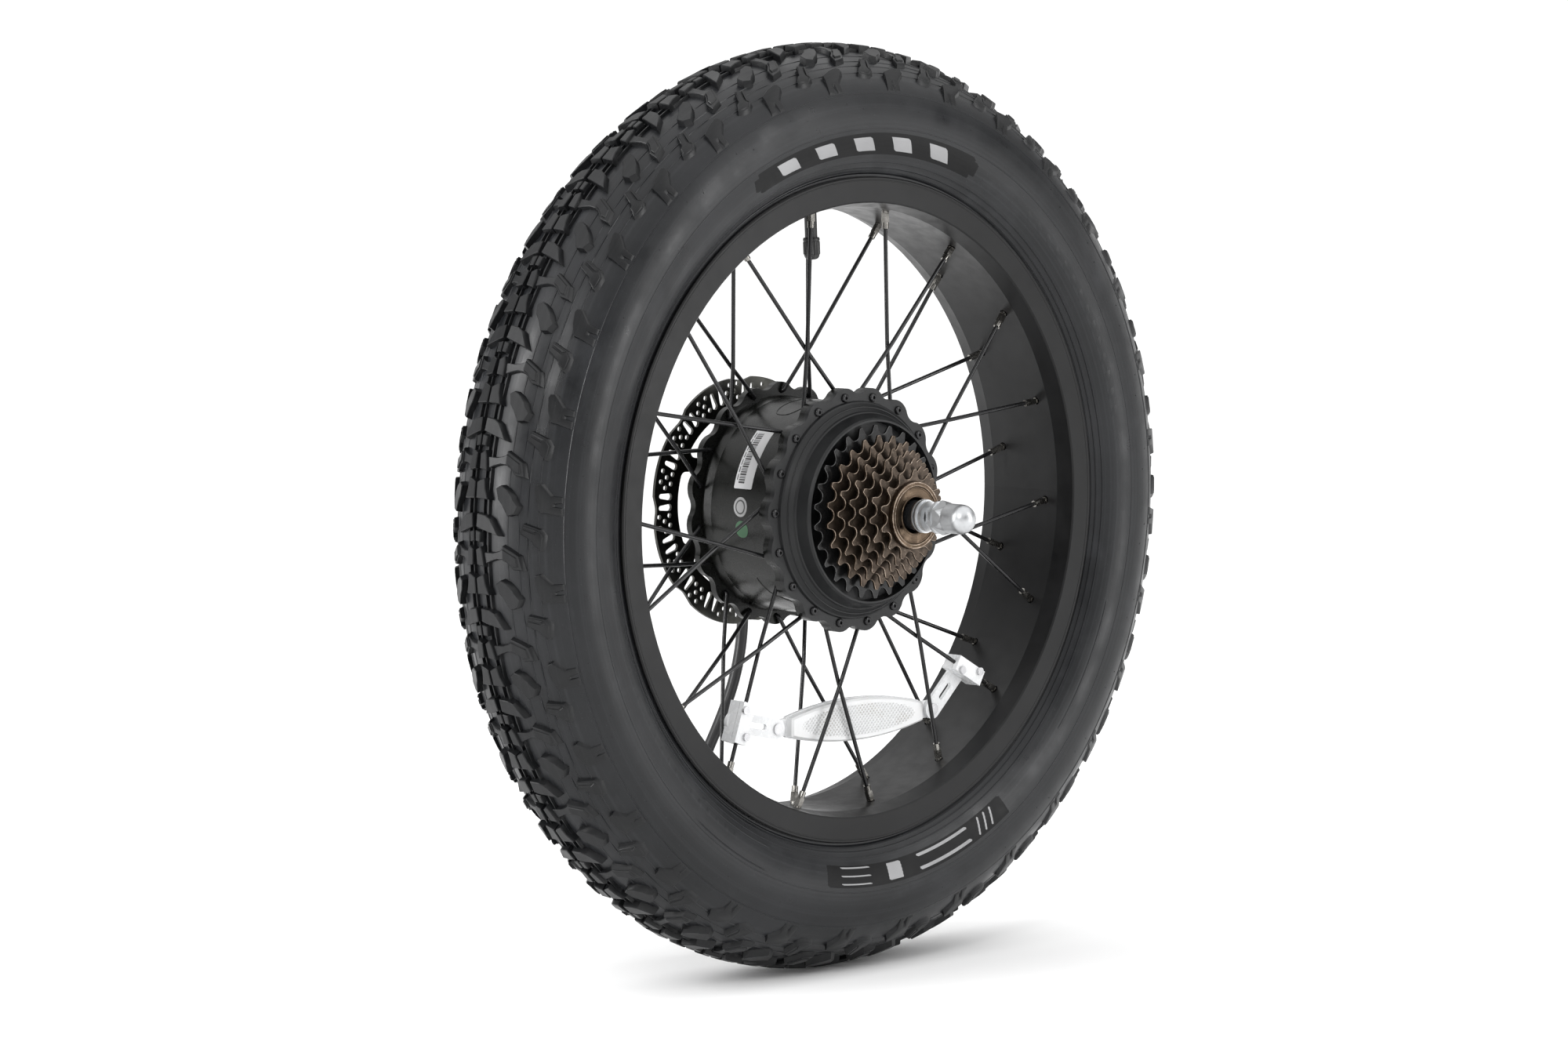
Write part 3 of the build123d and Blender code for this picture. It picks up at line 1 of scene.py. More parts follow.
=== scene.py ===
import bmesh
import bpy
import math
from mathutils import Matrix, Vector


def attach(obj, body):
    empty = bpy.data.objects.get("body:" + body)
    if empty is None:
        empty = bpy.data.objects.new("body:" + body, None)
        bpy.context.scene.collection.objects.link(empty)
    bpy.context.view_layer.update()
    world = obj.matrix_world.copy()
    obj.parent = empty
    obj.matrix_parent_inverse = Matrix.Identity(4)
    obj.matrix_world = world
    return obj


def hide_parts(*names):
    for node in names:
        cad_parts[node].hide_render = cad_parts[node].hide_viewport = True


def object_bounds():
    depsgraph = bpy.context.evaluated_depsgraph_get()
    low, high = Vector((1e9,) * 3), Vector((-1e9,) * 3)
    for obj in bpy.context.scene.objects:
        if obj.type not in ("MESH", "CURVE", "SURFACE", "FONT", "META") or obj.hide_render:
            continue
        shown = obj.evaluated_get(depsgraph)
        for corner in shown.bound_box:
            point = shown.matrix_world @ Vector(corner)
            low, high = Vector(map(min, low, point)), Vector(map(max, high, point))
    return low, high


# Looks for the hub motor wheel. Everything is in metres in the CAD frame:
# +X forward, +Y the brake side, +Z up, the axle along Y through the origin.
# Lengths below are written in millimetres and multiplied by MM.

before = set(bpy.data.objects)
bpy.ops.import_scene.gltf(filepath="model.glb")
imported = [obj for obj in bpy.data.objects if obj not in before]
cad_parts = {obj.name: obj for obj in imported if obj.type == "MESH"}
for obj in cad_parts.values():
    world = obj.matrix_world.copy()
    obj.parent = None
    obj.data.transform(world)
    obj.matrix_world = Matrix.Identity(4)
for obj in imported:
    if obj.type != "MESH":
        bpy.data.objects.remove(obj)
cad_low, cad_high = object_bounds()
MM = 0.001
PRISM_PITCH = 0.0030
LENS_CENTRE = (0.019, -0.1355)
LENS_PRISM_REACH = (0.050, 0.0098)
TURN = 2 * math.pi


def mm(x, y, z):
    return Vector((x * MM, y * MM, z * MM))


def polar(radius, y, degrees):
    """A point given by its distance from the axle, its place along it and its angle from +X to +Z."""
    a = math.radians(degrees)
    return mm(radius * math.cos(a), y, radius * math.sin(a))


# ---- materials --------------------------------------------------------------------------

class Graph:
    """A material's nodes, with short calls to add and join them."""

    def __init__(self, name):
        self.material = bpy.data.materials.new(name)
        self.material.use_nodes = True
        self.tree = self.material.node_tree
        self.shader = self.tree.nodes["Principled BSDF"]
        self.place = self.tree.nodes.new("ShaderNodeTexCoord").outputs["Object"]

    def add(self, kind, inputs=None, **settings):
        node = self.tree.nodes.new("ShaderNode" + kind)
        for key, value in settings.items():
            setattr(node, key, value)
        for key, value in (inputs or {}).items():
            self.put(node.inputs[key], value)
        return node

    def put(self, socket, value):
        if isinstance(value, bpy.types.NodeSocket):
            self.tree.links.new(value, socket)
        else:
            socket.default_value = value

    def noise(self, scale, detail=3.0, place=None, roughness=0.55):
        node = self.add("TexNoise", {"Scale": scale, "Detail": detail, "Roughness": roughness})
        self.put(node.inputs["Vector"], place or self.place)
        return node.outputs["Fac"]

    def remap(self, value, low, high, to_low, to_high):
        node = self.add("MapRange", {"Value": value, "From Min": low, "From Max": high,
                                     "To Min": to_low, "To Max": to_high})
        return node.outputs["Result"]

    def blend(self, share, first, second):
        node = self.add("Mix", data_type="RGBA")
        self.put(node.inputs[0], share)
        self.put(node.inputs[6], first)
        self.put(node.inputs[7], second)
        return node.outputs[2]

    def math(self, operation, first, second=0.0):
        node = self.add("Math", operation=operation)
        self.put(node.inputs[0], first)
        self.put(node.inputs[1], second)
        return node.outputs[0]

    def wheel_place(self, along_turn=0.0):
        """Coordinates that only change with radius and depth, so that a pattern runs round the axle."""
        parts = self.add("SeparateXYZ", {"Vector": self.place})
        x2 = self.math("MULTIPLY", parts.outputs["X"], parts.outputs["X"])
        z2 = self.math("MULTIPLY", parts.outputs["Z"], parts.outputs["Z"])
        radius = self.math("SQRT", self.math("ADD", x2, z2))
        turn = self.math("MULTIPLY", self.math("ARCTAN2", parts.outputs["Z"], parts.outputs["X"]), along_turn)
        return self.add("CombineXYZ", {"X": radius, "Y": parts.outputs["Y"], "Z": turn}).outputs[0]

    def bump(self, height, strength, distance, under=None):
        node = self.add("Bump", {"Height": height, "Strength": strength, "Distance": distance})
        if under is not None:
            self.put(node.inputs["Normal"], under)
        return node.outputs["Normal"]

    def finish(self, colour=None, roughness=None, normal=None, **fixed):
        for key, value in (("Base Color", colour), ("Roughness", roughness), ("Normal", normal)):
            if value is not None:
                self.put(self.shader.inputs[key], value)
        for key, value in fixed.items():
            self.shader.inputs[key.replace("_", " ")].default_value = value
        return self.material


def rgb(red, green, blue):
    return (red, green, blue, 1.0)


def painted(name, dark, light, gloss, grain=900.0, grain_depth=0.00006, cloud=18.0, metal=0.0, **fixed):
    """A coated or moulded surface: slow colour drift, uneven gloss and a fine grain."""
    g = Graph(name)
    colour = g.blend(g.remap(g.noise(cloud), 0.35, 0.68, 0.0, 1.0), dark, light)
    dust = g.remap(g.noise(1400.0, 2.0), 0.70, 0.78, 0.0, 0.25)
    colour = g.blend(dust, colour, rgb(*[min(1.0, c * 2.2 + 0.01) for c in light[:3]]))
    rough = g.remap(g.noise(cloud * 6, 4.0), 0.3, 0.7, gloss - 0.05, gloss + 0.07)
    normal = g.bump(g.noise(grain, 2.0), 0.35, grain_depth)
    return g.finish(colour, rough, normal, Metallic=metal, **fixed)


def turned_metal(name, dark, light, gloss, rings=2600.0, stain=None, depth=0.00003, **fixed):
    """Bare metal with fine tool rings round the axle and slow staining."""
    g = Graph(name)
    colour = g.blend(g.remap(g.noise(60.0, 5.0), 0.35, 0.65, 0.0, 1.0), dark, light)
    if stain is not None:
        colour = g.blend(g.remap(g.noise(210.0, 6.0), 0.52, 0.74, 0.0, 0.85), colour, stain)
    line = g.noise(rings, 2.0, g.wheel_place())
    rough = g.remap(line, 0.3, 0.7, gloss - 0.07, gloss + 0.09)
    normal = g.bump(line, 0.3, depth, g.bump(g.noise(700.0, 3.0), 0.2, 0.00005))
    return g.finish(colour, rough, normal, Metallic=1.0, **fixed)


def tyre_rubber(name, dark, light, bloom, gloss):
    """Black rubber with a greyish bloom, faint rings round the side and a skin-like grain."""
    g = Graph(name)
    cloud = g.remap(g.noise(14.0, 6.0, roughness=0.62), 0.38, 0.68, 0.0, 1.0)
    colour = g.blend(cloud, dark, light)
    rings = g.noise(420.0, 2.0, g.wheel_place())
    colour = g.blend(g.remap(rings, 0.50, 0.78, 0.0, 0.55), colour, bloom)
    smear = g.noise(38.0, 5.0, g.wheel_place(0.12))
    colour = g.blend(g.remap(smear, 0.58, 0.78, 0.0, 0.5), colour, rgb(*[c * 1.5 for c in bloom[:3]]))
    dust = g.remap(g.noise(900.0, 2.0), 0.70, 0.76, 0.0, 0.4)
    colour = g.blend(dust, colour, rgb(*[c * 2.6 for c in bloom[:3]]))
    rough = g.remap(g.noise(45.0, 5.0), 0.3, 0.72, gloss - 0.07, gloss + 0.13)
    fine = g.bump(g.noise(1600.0, 3.0), 0.35, 0.0001)
    lines = g.bump(rings, 0.25, 0.0002, fine)
    return g.finish(colour, rough, lines, Specular_IOR_Level=0.30)


def sprocket_steel(name, dark, light, wear, gloss):
    """Phosphate coated sprocket steel, blotchy, with rubbed places."""
    g = Graph(name)
    patch = g.remap(g.noise(150.0, 6.0), 0.36, 0.66, 0.0, 1.0)
    colour = g.blend(patch, dark, light)
    colour = g.blend(g.remap(g.noise(620.0, 4.0), 0.60, 0.76, 0.0, 0.6), colour, wear)
    rough = g.remap(g.noise(330.0, 4.0), 0.3, 0.7, gloss - 0.06, gloss + 0.14)
    normal = g.bump(g.noise(900.0, 3.0), 0.35, 0.00006)
    return g.finish(colour, rough, normal, Metallic=0.8)


def prism_plastic(name, colour, depth):
    """Clear plastic with the square prism pattern of a reflector moulded into it."""
    g = Graph(name)
    parts = g.add("SeparateXYZ", {"Vector": g.place})
    waves = [
        g.math("SINE", g.math("MULTIPLY", parts.outputs[axis], TURN / PRISM_PITCH)) for axis in ("X", "Z")
    ]
    reach = []
    for axis, centre, half in zip(("X", "Z"), LENS_CENTRE, LENS_PRISM_REACH):
        share = g.math("DIVIDE", g.math("SUBTRACT", parts.outputs[axis], centre), half)
        reach.append(g.math("POWER", g.math("ABSOLUTE", share), 2.0))
    inside = g.remap(g.math("ADD", reach[0], reach[1]), 0.92, 1.08, 1.0, 0.0)
    cells = g.math("MULTIPLY", g.math("MULTIPLY", waves[0], waves[1]), inside)
    shade = g.remap(cells, -0.7, 0.1, 0.0, 1.0)
    blotch = g.remap(g.noise(55.0, 3.0), 0.50, 0.62, 0.0, 0.5)
    dark_cell = g.blend(blotch, rgb(*[c * 0.80 for c in colour[:3]]), rgb(0.42, 0.38, 0.32))
    mixed = g.blend(shade, dark_cell, colour)
    return g.finish(mixed, 0.10, g.bump(cells, 0.7, depth), Transmission_Weight=0.15, IOR=1.49)


def build_materials():
    m = {}
    # Casing and knobs are the same rubber in two copies: the casing copy is lighter, a painted sheen against
    # the darker knob copy.
    m["tyre"] = tyre_rubber("tyre_casing", rgb(0.0055, 0.0060, 0.0070), rgb(0.0115, 0.0121, 0.0137),
                            rgb(0.022, 0.0229, 0.0253), 0.33)
    m["knob"] = tyre_rubber("tyre_knobs", rgb(0.0040, 0.0043, 0.0048), rgb(0.0078, 0.0081, 0.0089),
                            rgb(0.014, 0.0144, 0.0156), 0.36)
    m["patch"] = painted("tyre_print_ground", rgb(0.0035, 0.0035, 0.0038), rgb(0.006, 0.006, 0.0064),
                         0.42, 600.0, Specular_IOR_Level=0.16)
    m["print"] = painted("tyre_print_grey", rgb(0.24, 0.24, 0.245), rgb(0.31, 0.31, 0.315), 0.45, 600.0)
    m["tube"] = painted("tube_rubber", rgb(0.02, 0.02, 0.02), rgb(0.035, 0.035, 0.035), 0.7)
    m["tape"] = painted("tape_cloth", rgb(0.06, 0.06, 0.065), rgb(0.10, 0.10, 0.11), 0.85, 1500.0, 0.0002)
    m["rim"] = painted("rim_black", rgb(0.006, 0.006, 0.0063), rgb(0.010, 0.010, 0.0104), 0.34, 2600.0,
                       0.00004, Specular_IOR_Level=0.22)
    m["hub"] = painted("hub_black", rgb(0.0035, 0.0038, 0.0033), rgb(0.0065, 0.0068, 0.0058), 0.26,
                       1400.0, 0.00007, Specular_IOR_Level=0.26)
    m["cover"] = painted("cover_black", rgb(0.008, 0.0084, 0.009), rgb(0.012, 0.0125, 0.0132), 0.40,
                         3000.0, 0.00006, Specular_IOR_Level=0.30)
    m["spoke"] = painted("spoke_black", rgb(0.008, 0.008, 0.0085), rgb(0.016, 0.016, 0.017), 0.22,
                         1200.0, 0.00002, 60.0, 0.35)
    m["screw"] = painted("screw_black", rgb(0.010, 0.010, 0.011), rgb(0.020, 0.020, 0.021), 0.20,
                         1500.0, 0.00002, 80.0, 0.4)
    m["nipple"] = turned_metal("nipple_nickel", rgb(0.17, 0.162, 0.15), rgb(0.33, 0.32, 0.30), 0.22,
                               stain=rgb(0.10, 0.095, 0.085))
    m["zinc"] = turned_metal("bright_zinc", rgb(0.50, 0.51, 0.52), rgb(0.60, 0.61, 0.62), 0.37,
                             stain=rgb(0.47, 0.48, 0.49))
    m["rotor"] = turned_metal("rotor_steel", rgb(0.048, 0.048, 0.044), rgb(0.082, 0.081, 0.074), 0.36,
                              3400.0, rgb(0.034, 0.034, 0.031))
    m["brown"] = sprocket_steel("brown_sprocket", rgb(0.034, 0.025, 0.018), rgb(0.088, 0.066, 0.050),
                                rgb(0.24, 0.195, 0.155), 0.32)
    # Lighter copy of the brown steel for the chamfers: partly rubbed wear on the tooth edges, partly a
    # painted highlight along them. The freewheel face rings use it too.
    m["brown_edge_wear_and_highlight"] = sprocket_steel("brown_edge_wear_and_highlight", rgb(0.17, 0.125, 0.092), rgb(0.40, 0.32, 0.255),
                                     rgb(0.80, 0.72, 0.64), 0.22)
    # Darker copy of the brown steel for the side walls: painted shade in the narrow gaps between the
    # sprockets.
    m["brown_side_painted_shade"] = sprocket_steel("brown_side_painted_shade", rgb(0.030, 0.021, 0.014), rgb(0.075, 0.054, 0.038),
                                     rgb(0.17, 0.13, 0.10), 0.33)
    # Much lighter chamfer copy for the black sprocket: partly rubbed paint on the edges, partly a painted
    # highlight along them.
    m["black_edge_wear_and_highlight"] = sprocket_steel("black_edge_wear_and_highlight", rgb(0.05, 0.05, 0.05), rgb(0.12, 0.12, 0.12),
                                     rgb(0.25, 0.25, 0.25), 0.22)
    m["black_sprocket"] = painted("sprocket_black", rgb(0.005, 0.005, 0.0055),
                                  rgb(0.011, 0.011, 0.011), 0.20, 900.0, 0.00005, 90.0, 0.3)
    m["bronze"] = turned_metal("bronze_ring", rgb(0.060, 0.042, 0.029), rgb(0.125, 0.090, 0.062), 0.30,
                               stain=rgb(0.21, 0.155, 0.11))
    m["steel"] = turned_metal("machined_steel", rgb(0.42, 0.42, 0.43), rgb(0.58, 0.58, 0.59), 0.30)
    m["nylon"] = painted("nylon", rgb(0.60, 0.56, 0.44), rgb(0.72, 0.68, 0.56), 0.45, 800.0)
    m["copper"] = painted("enamelled_copper", rgb(0.42, 0.16, 0.06), rgb(0.56, 0.24, 0.10), 0.30,
                          2200.0, 0.0003, 40.0, 0.8)
    m["board"] = painted("circuit_board", rgb(0.01, 0.07, 0.03), rgb(0.02, 0.11, 0.05), 0.32, 900.0)
    m["aluminium"] = turned_metal("machined_aluminium", rgb(0.60, 0.60, 0.61), rgb(0.72, 0.72, 0.73), 0.32)
    m["magnet"] = turned_metal("plated_magnet", rgb(0.50, 0.50, 0.52), rgb(0.64, 0.64, 0.66), 0.25)
    m["seal"] = painted("seal_rubber", rgb(0.015, 0.015, 0.015), rgb(0.03, 0.03, 0.03), 0.55)
    m["cable"] = painted("cable_sheath", rgb(0.014, 0.014, 0.015), rgb(0.024, 0.024, 0.025), 0.38,
                         1300.0, 0.00005, 30.0)
    m["plastic"] = painted("black_plastic", rgb(0.014, 0.014, 0.014), rgb(0.024, 0.024, 0.024), 0.42,
                           1800.0, 0.00008, 40.0)
    m["white_plastic"] = painted("white_plastic", rgb(0.72, 0.73, 0.74), rgb(0.79, 0.795, 0.80), 0.26,
                                 1200.0, 0.00004, 40.0,
                                 Transmission_Weight=0.05, IOR=1.5)
    m["clear"] = prism_plastic("clear_prisms", rgb(0.84, 0.845, 0.85), 0.0005)
    m["label"] = painted("label_white", rgb(0.44, 0.44, 0.445), rgb(0.50, 0.50, 0.505), 0.42, 500.0)
    m["label_ink"] = painted("label_ink", rgb(0.03, 0.03, 0.03), rgb(0.05, 0.05, 0.05), 0.45, 500.0)
    m["label_grey"] = painted("label_grey", rgb(0.25, 0.25, 0.25), rgb(0.31, 0.31, 0.31), 0.38, 500.0)
    m["label_green"] = painted("label_green", rgb(0.010, 0.050, 0.018), rgb(0.022, 0.105, 0.038), 0.36, 900.0)
    return m


NODE_MATERIALS = {
    "tyre": "tyre", "inner_tube": "tube", "rim": "rim", "rim_tape": "tape",
    "valve_stem": "seal", "valve_cap": "plastic",
    "spokes_drive_side": "spoke", "spokes_brake_side": "spoke", "spoke_nipples": "nipple",
    "hub_shell": "hub", "drive_cover": "cover", "cover_screws": "screw",
    "brake_disc": "rotor", "disc_bolts": "screw",
    "sun_gear": "steel", "planet_gear_1": "nylon", "planet_gear_2": "nylon", "planet_gear_3": "nylon",
    "ring_gear": "steel", "planet_carrier": "steel", "planet_pins": "steel", "one_way_clutch": "steel",
    "stator_core": "steel", "stator_windings": "copper", "stator_hub": "aluminium",
    "hall_sensor_board": "board", "rotor_bell": "steel", "rotor_magnets": "magnet",
    "hub_bearing_inner_rings": "steel", "hub_bearing_outer_rings": "steel", "hub_bearing_balls": "steel",
    "rotor_bearing_inner_rings": "steel", "rotor_bearing_outer_rings": "steel",
    "rotor_bearing_balls": "steel",
    "brake_side_seal": "seal", "freewheel_outer_body": "bronze", "freewheel_inner_body": "bronze",
    "pawl_1": "steel", "pawl_2": "steel", "freewheel_cone": "bronze",
    "axle": "zinc", "axle_washers": "zinc", "drive_side_acorn_nut": "zinc", "brake_side_nut": "zinc",
    "motor_cable": "cable", "cable_grommet": "seal", "cable_connector": "plastic",
    "reflector_lens": "clear", "reflector_back": "white_plastic", "reflector_arms": "white_plastic",
    "reflector_clamps": "white_plastic", "reflector_fasteners": "steel",
    "sprocket_26t": "black_sprocket", "sprocket_23t": "brown", "sprocket_21t": "brown",
    "sprocket_19t": "brown", "sprocket_17t": "brown", "sprocket_15t": "brown", "sprocket_13t": "brown",
}

M = build_materials()
for node, key in NODE_MATERIALS.items():
    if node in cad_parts:
        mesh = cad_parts[node].data
        mesh.materials.clear()
        mesh.materials.append(M[key])


# ---- mesh helpers ---------------------------------------------------------------------------

def make_object(name, verts, faces, material, body, sharp=35.0):
    mesh = bpy.data.meshes.new(name)
    mesh.from_pydata([tuple(v) for v in verts], [], faces)
    mesh.validate()
    bm = bmesh.new()
    bm.from_mesh(mesh)
    bmesh.ops.recalc_face_normals(bm, faces=bm.faces)
    bm.to_mesh(mesh)
    bm.free()
    mesh.shade_smooth()
    mesh.set_sharp_from_angle(angle=math.radians(sharp))
    mesh.materials.append(material)
    obj = bpy.data.objects.new(name, mesh)
    bpy.context.scene.collection.objects.link(obj)
    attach(obj, body)
    return obj


def revolve_profile(profile, segments, verts, faces):
    """Add a closed outline of (radius, y), in millimetres, turned about the axle."""
    first = len(verts)
    count = len(profile)
    for i in range(segments):
        angle = 360.0 * i / segments
        verts.extend(polar(r, y, angle) for r, y in profile)
    for i in range(segments):
        here = first + i * count
        there = first + ((i + 1) % segments) * count
        for j in range(count):
            k = (j + 1) % count
            faces.append((here + j, here + k, there + k, there + j))


# ---- tyre -----------------------------------------------------------------------------------

PITCHES = 32
CROWN_CENTRE = 242.5
TIP_RADIUS = 50.0
CASING_HEIGHT = 44.6
CASING_HALF = 49.5
TREAD_PHASE = 173.9
TREAD_ROLL_RADIUS = 290.0
BULGE = (242.5, 49.5)
LOW_SIDE = (225.5, 46.6)
LIP_SIDE = (210.4, 37.0)


def casing_point(arc, share=0.0):
    """(radius, y) on the tread at an arc length from the centre line; share 1 is the knob tips."""
    angle = arc / TIP_RADIUS
    low = (CROWN_CENTRE + CASING_HEIGHT * math.cos(angle), CASING_HALF * math.sin(angle))
    high = (CROWN_CENTRE + (TIP_RADIUS - 0.3) * math.cos(angle), (TIP_RADIUS - 0.2) * math.sin(angle))
    return (low[0] + (high[0] - low[0]) * share, low[1] + (high[1] - low[1]) * share)


def circle_through(a, b, c):
    """Centre and radius of the circle through three points."""
    ax, ay, bx, by, cx, cy = *a, *b, *c
    d = 2 * (ax * (by - cy) + bx * (cy - ay) + cx * (ay - by))
    a2, b2, c2 = ax ** 2 + ay ** 2, bx ** 2 + by ** 2, cx ** 2 + cy ** 2
    ux = (a2 * (by - cy) + b2 * (cy - ay) + c2 * (ay - by)) / d
    uy = (a2 * (cx - bx) + b2 * (ax - cx) + c2 * (bx - ax)) / d
    return ux, uy, math.hypot(ax - ux, ay - uy)


SIDE_X, SIDE_Y, SIDE_R = circle_through(BULGE, LOW_SIDE, LIP_SIDE)


def side_point(share, lift=0.0):
    """(radius, y) on the +Y side wall; share 0 is the widest place and 1 is at the rim."""
    start = math.atan2(BULGE[1] - SIDE_Y, BULGE[0] - SIDE_X)
    end = math.atan2(LIP_SIDE[1] - SIDE_Y, LIP_SIDE[0] - SIDE_X)
    angle = start + (end - start) * share
    return (SIDE_X + (SIDE_R + lift) * math.cos(angle), SIDE_Y + (SIDE_R + lift) * math.sin(angle))


TREAD_LINES = (20.7, 28.3, 33.6, 40.4, 57.0)
SIDE_LINES = ((0.10, 0.25), (0.74, 0.35), (0.86, 0.5), (0.95, 0.4))


def tyre_profile():
    """Half the outside of the casing, from the crown to the rim, with its fine raised lines."""
    points = []
    edge = TIP_RADIUS * math.pi / 2
    stations = set(round(i * edge / 44, 3) for i in range(45))
    for line in TREAD_LINES:
        stations -= {s for s in stations if abs(s - line) < 1.0}
        stations |= {line - 0.5, line - 0.2, line + 0.2, line + 0.5}
    for arc in sorted(stations):
        r, y = casing_point(arc)
        on_line = any(abs(arc - line) < 0.3 for line in TREAD_LINES)
        n = arc / TIP_RADIUS
        rise = 0.32 if on_line else 0.0
        points.append((r + rise * math.cos(n), y + rise * math.sin(n)))
    shares = set(round(i / 30, 3) for i in range(1, 31))
    for line, _ in SIDE_LINES:
        shares -= {s for s in shares if abs(s - line) < 0.02}
        shares |= {line - 0.012, line - 0.005, line + 0.005, line + 0.012}
    for share in sorted(shares):
        lift = sum(height for line, height in SIDE_LINES if abs(share - line) < 0.007)
        points.append(side_point(share, lift))
    return points


def offset_outline(points, distance):
    """Move a closed outline outward by a distance, corner by corner."""
    area = sum(a[0] * b[1] - b[0] * a[1] for a, b in zip(points, points[1:] + points[:1]))
    sign = 1.0 if area > 0 else -1.0
    moved = []
    for before, here, after in zip(points[-1:] + points[:-1], points, points[1:] + points[:1]):
        d1 = Vector((here[0] - before[0], here[1] - before[1])).normalized()
        d2 = Vector((after[0] - here[0], after[1] - here[1])).normalized()
        n1 = Vector((d1.y, -d1.x)) * sign
        n2 = Vector((d2.y, -d2.x)) * sign
        n = n1 + n2
        n = n / max(0.35, n.dot(n1)) if n.length > 1e-6 else n1
        moved.append((here[0] + n.x * distance, here[1] + n.y * distance))
    return moved


def add_block(outline, top, centre_angle, side, verts, faces, base=-0.15, draft=0.55, edge=0.4):
    """One tread block from its outline of (arc, run) points. top is its height share, or one per corner."""
    tops = top if isinstance(top, (list, tuple)) else [top] * len(outline)
    levels = [
        (offset_outline(outline, draft), [base] * len(outline)),
        (outline, [t - 0.09 for t in tops]),
        (offset_outline(outline, -edge), tops),
    ]
    first = len(verts)
    count = len(outline)
    for points, shares in levels:
        for (arc, run), share in zip(points, shares):
            r, y = casing_point(arc, share)
            angle = centre_angle + math.degrees(run / TREAD_ROLL_RADIUS)
            verts.append(polar(r, y * side, angle))
    for level in range(len(levels) - 1):
        low = first + level * count
        high = low + count
        for j in range(count):
            k = (j + 1) % count
            faces.append((low + j, low + k, high + k, high + j))
    faces.append(tuple(first + (len(levels) - 1) * count + j for j in range(count)))


# outlines on the half with positive arc: (arc from the centre line, run round the tyre)
SHOULDER = [(55.4, 3.5), (49.1, 3.1), (42.9, -4.0), (40.4, -3.5), (39.4, -1.0), (40.9, 6.9),
            (43.5, 13.6), (47.0, 13.8), (55.4, 15.4), (55.4, 10.6), (50.2, 10.0), (50.0, 7.7), (55.4, 7.1)]
SHOULDER_TOPS = [0.45, 0.8, 1.0, 1.0, 1.0, 1.0, 1.0, 0.9, 0.45, 0.45, 0.85, 0.85, 0.45]
NOTCHED = [(46.0, -28.5), (43.2, -32.5), (33.2, -35.9), (30.9, -30.0), (35.2, -27.5),
           (36.6, -26.6), (38.9, -25.6), (39.8, -22.8), (43.9, -19.4), (45.3, -21.5)]
NOTCHED_TOP = [(45.0, -28.2), (42.8, -30.9), (40.2, -29.6), (33.4, -32.6), (32.2, -30.0),
               (36.2, -27.4), (39.3, -24.9), (40.0, -22.9), (43.7, -20.6), (44.4, -22.0)]
NOTCHED_STRIP = [(42.6, -31.9), (33.7, -34.9), (33.4, -33.7), (40.3, -30.7)]
SLANTED = [(18.5, -1.5), (15.4, 0.6), (17.2, 6.9), (19.8, 10.0), (23.5, 16.5), (27.9, 15.4),
           (30.0, 10.6), (26.9, 6.5), (26.2, 4.8), (22.3, 0.6)]
PENTAGON = [(19.8, -22.1), (25.0, -19.2), (30.4, -15.9), (32.6, -7.2), (26.6, -7.8), (22.6, -12.2),
            (19.8, -13.6)]
PENTAGON_TOP = [(20.4, -20.2), (28.9, -15.1), (29.6, -9.4), (26.9, -9.6), (23.4, -13.0), (20.4, -14.6)]
BRIDGE = [(19.9, -20.8), (17.3, -19.0), (12.9, -17.8), (6.5, -17.9), (5.6, -16.0), (5.2, -12.0),
          (7.3, -11.0), (11.0, -12.7), (15.4, -14.0), (19.9, -13.8)]
CENTRE_UPPER = [(9.8, 7.5), (7.6, 1.2), (6.7, -5.0), (3.0, -3.6), (0.8, -2.4), (0.9, 7.0)]
CENTRE_WEDGE = [(17.9, 28.8), (11.9, 18.8), (8.5, 16.9), (2.2, 16.0), (1.6, 24.0), (5.4, 25.3)]
CENTRE_LOW_A = [(7.6, -9.4), (2.0, -10.4), (1.4, -19.4), (5.0, -21.4), (6.2, -18.4)]
CENTRE_LOW_B = [(4.6, 27.0), (0.7, 26.2), (0.7, 32.6), (4.0, 33.0)]


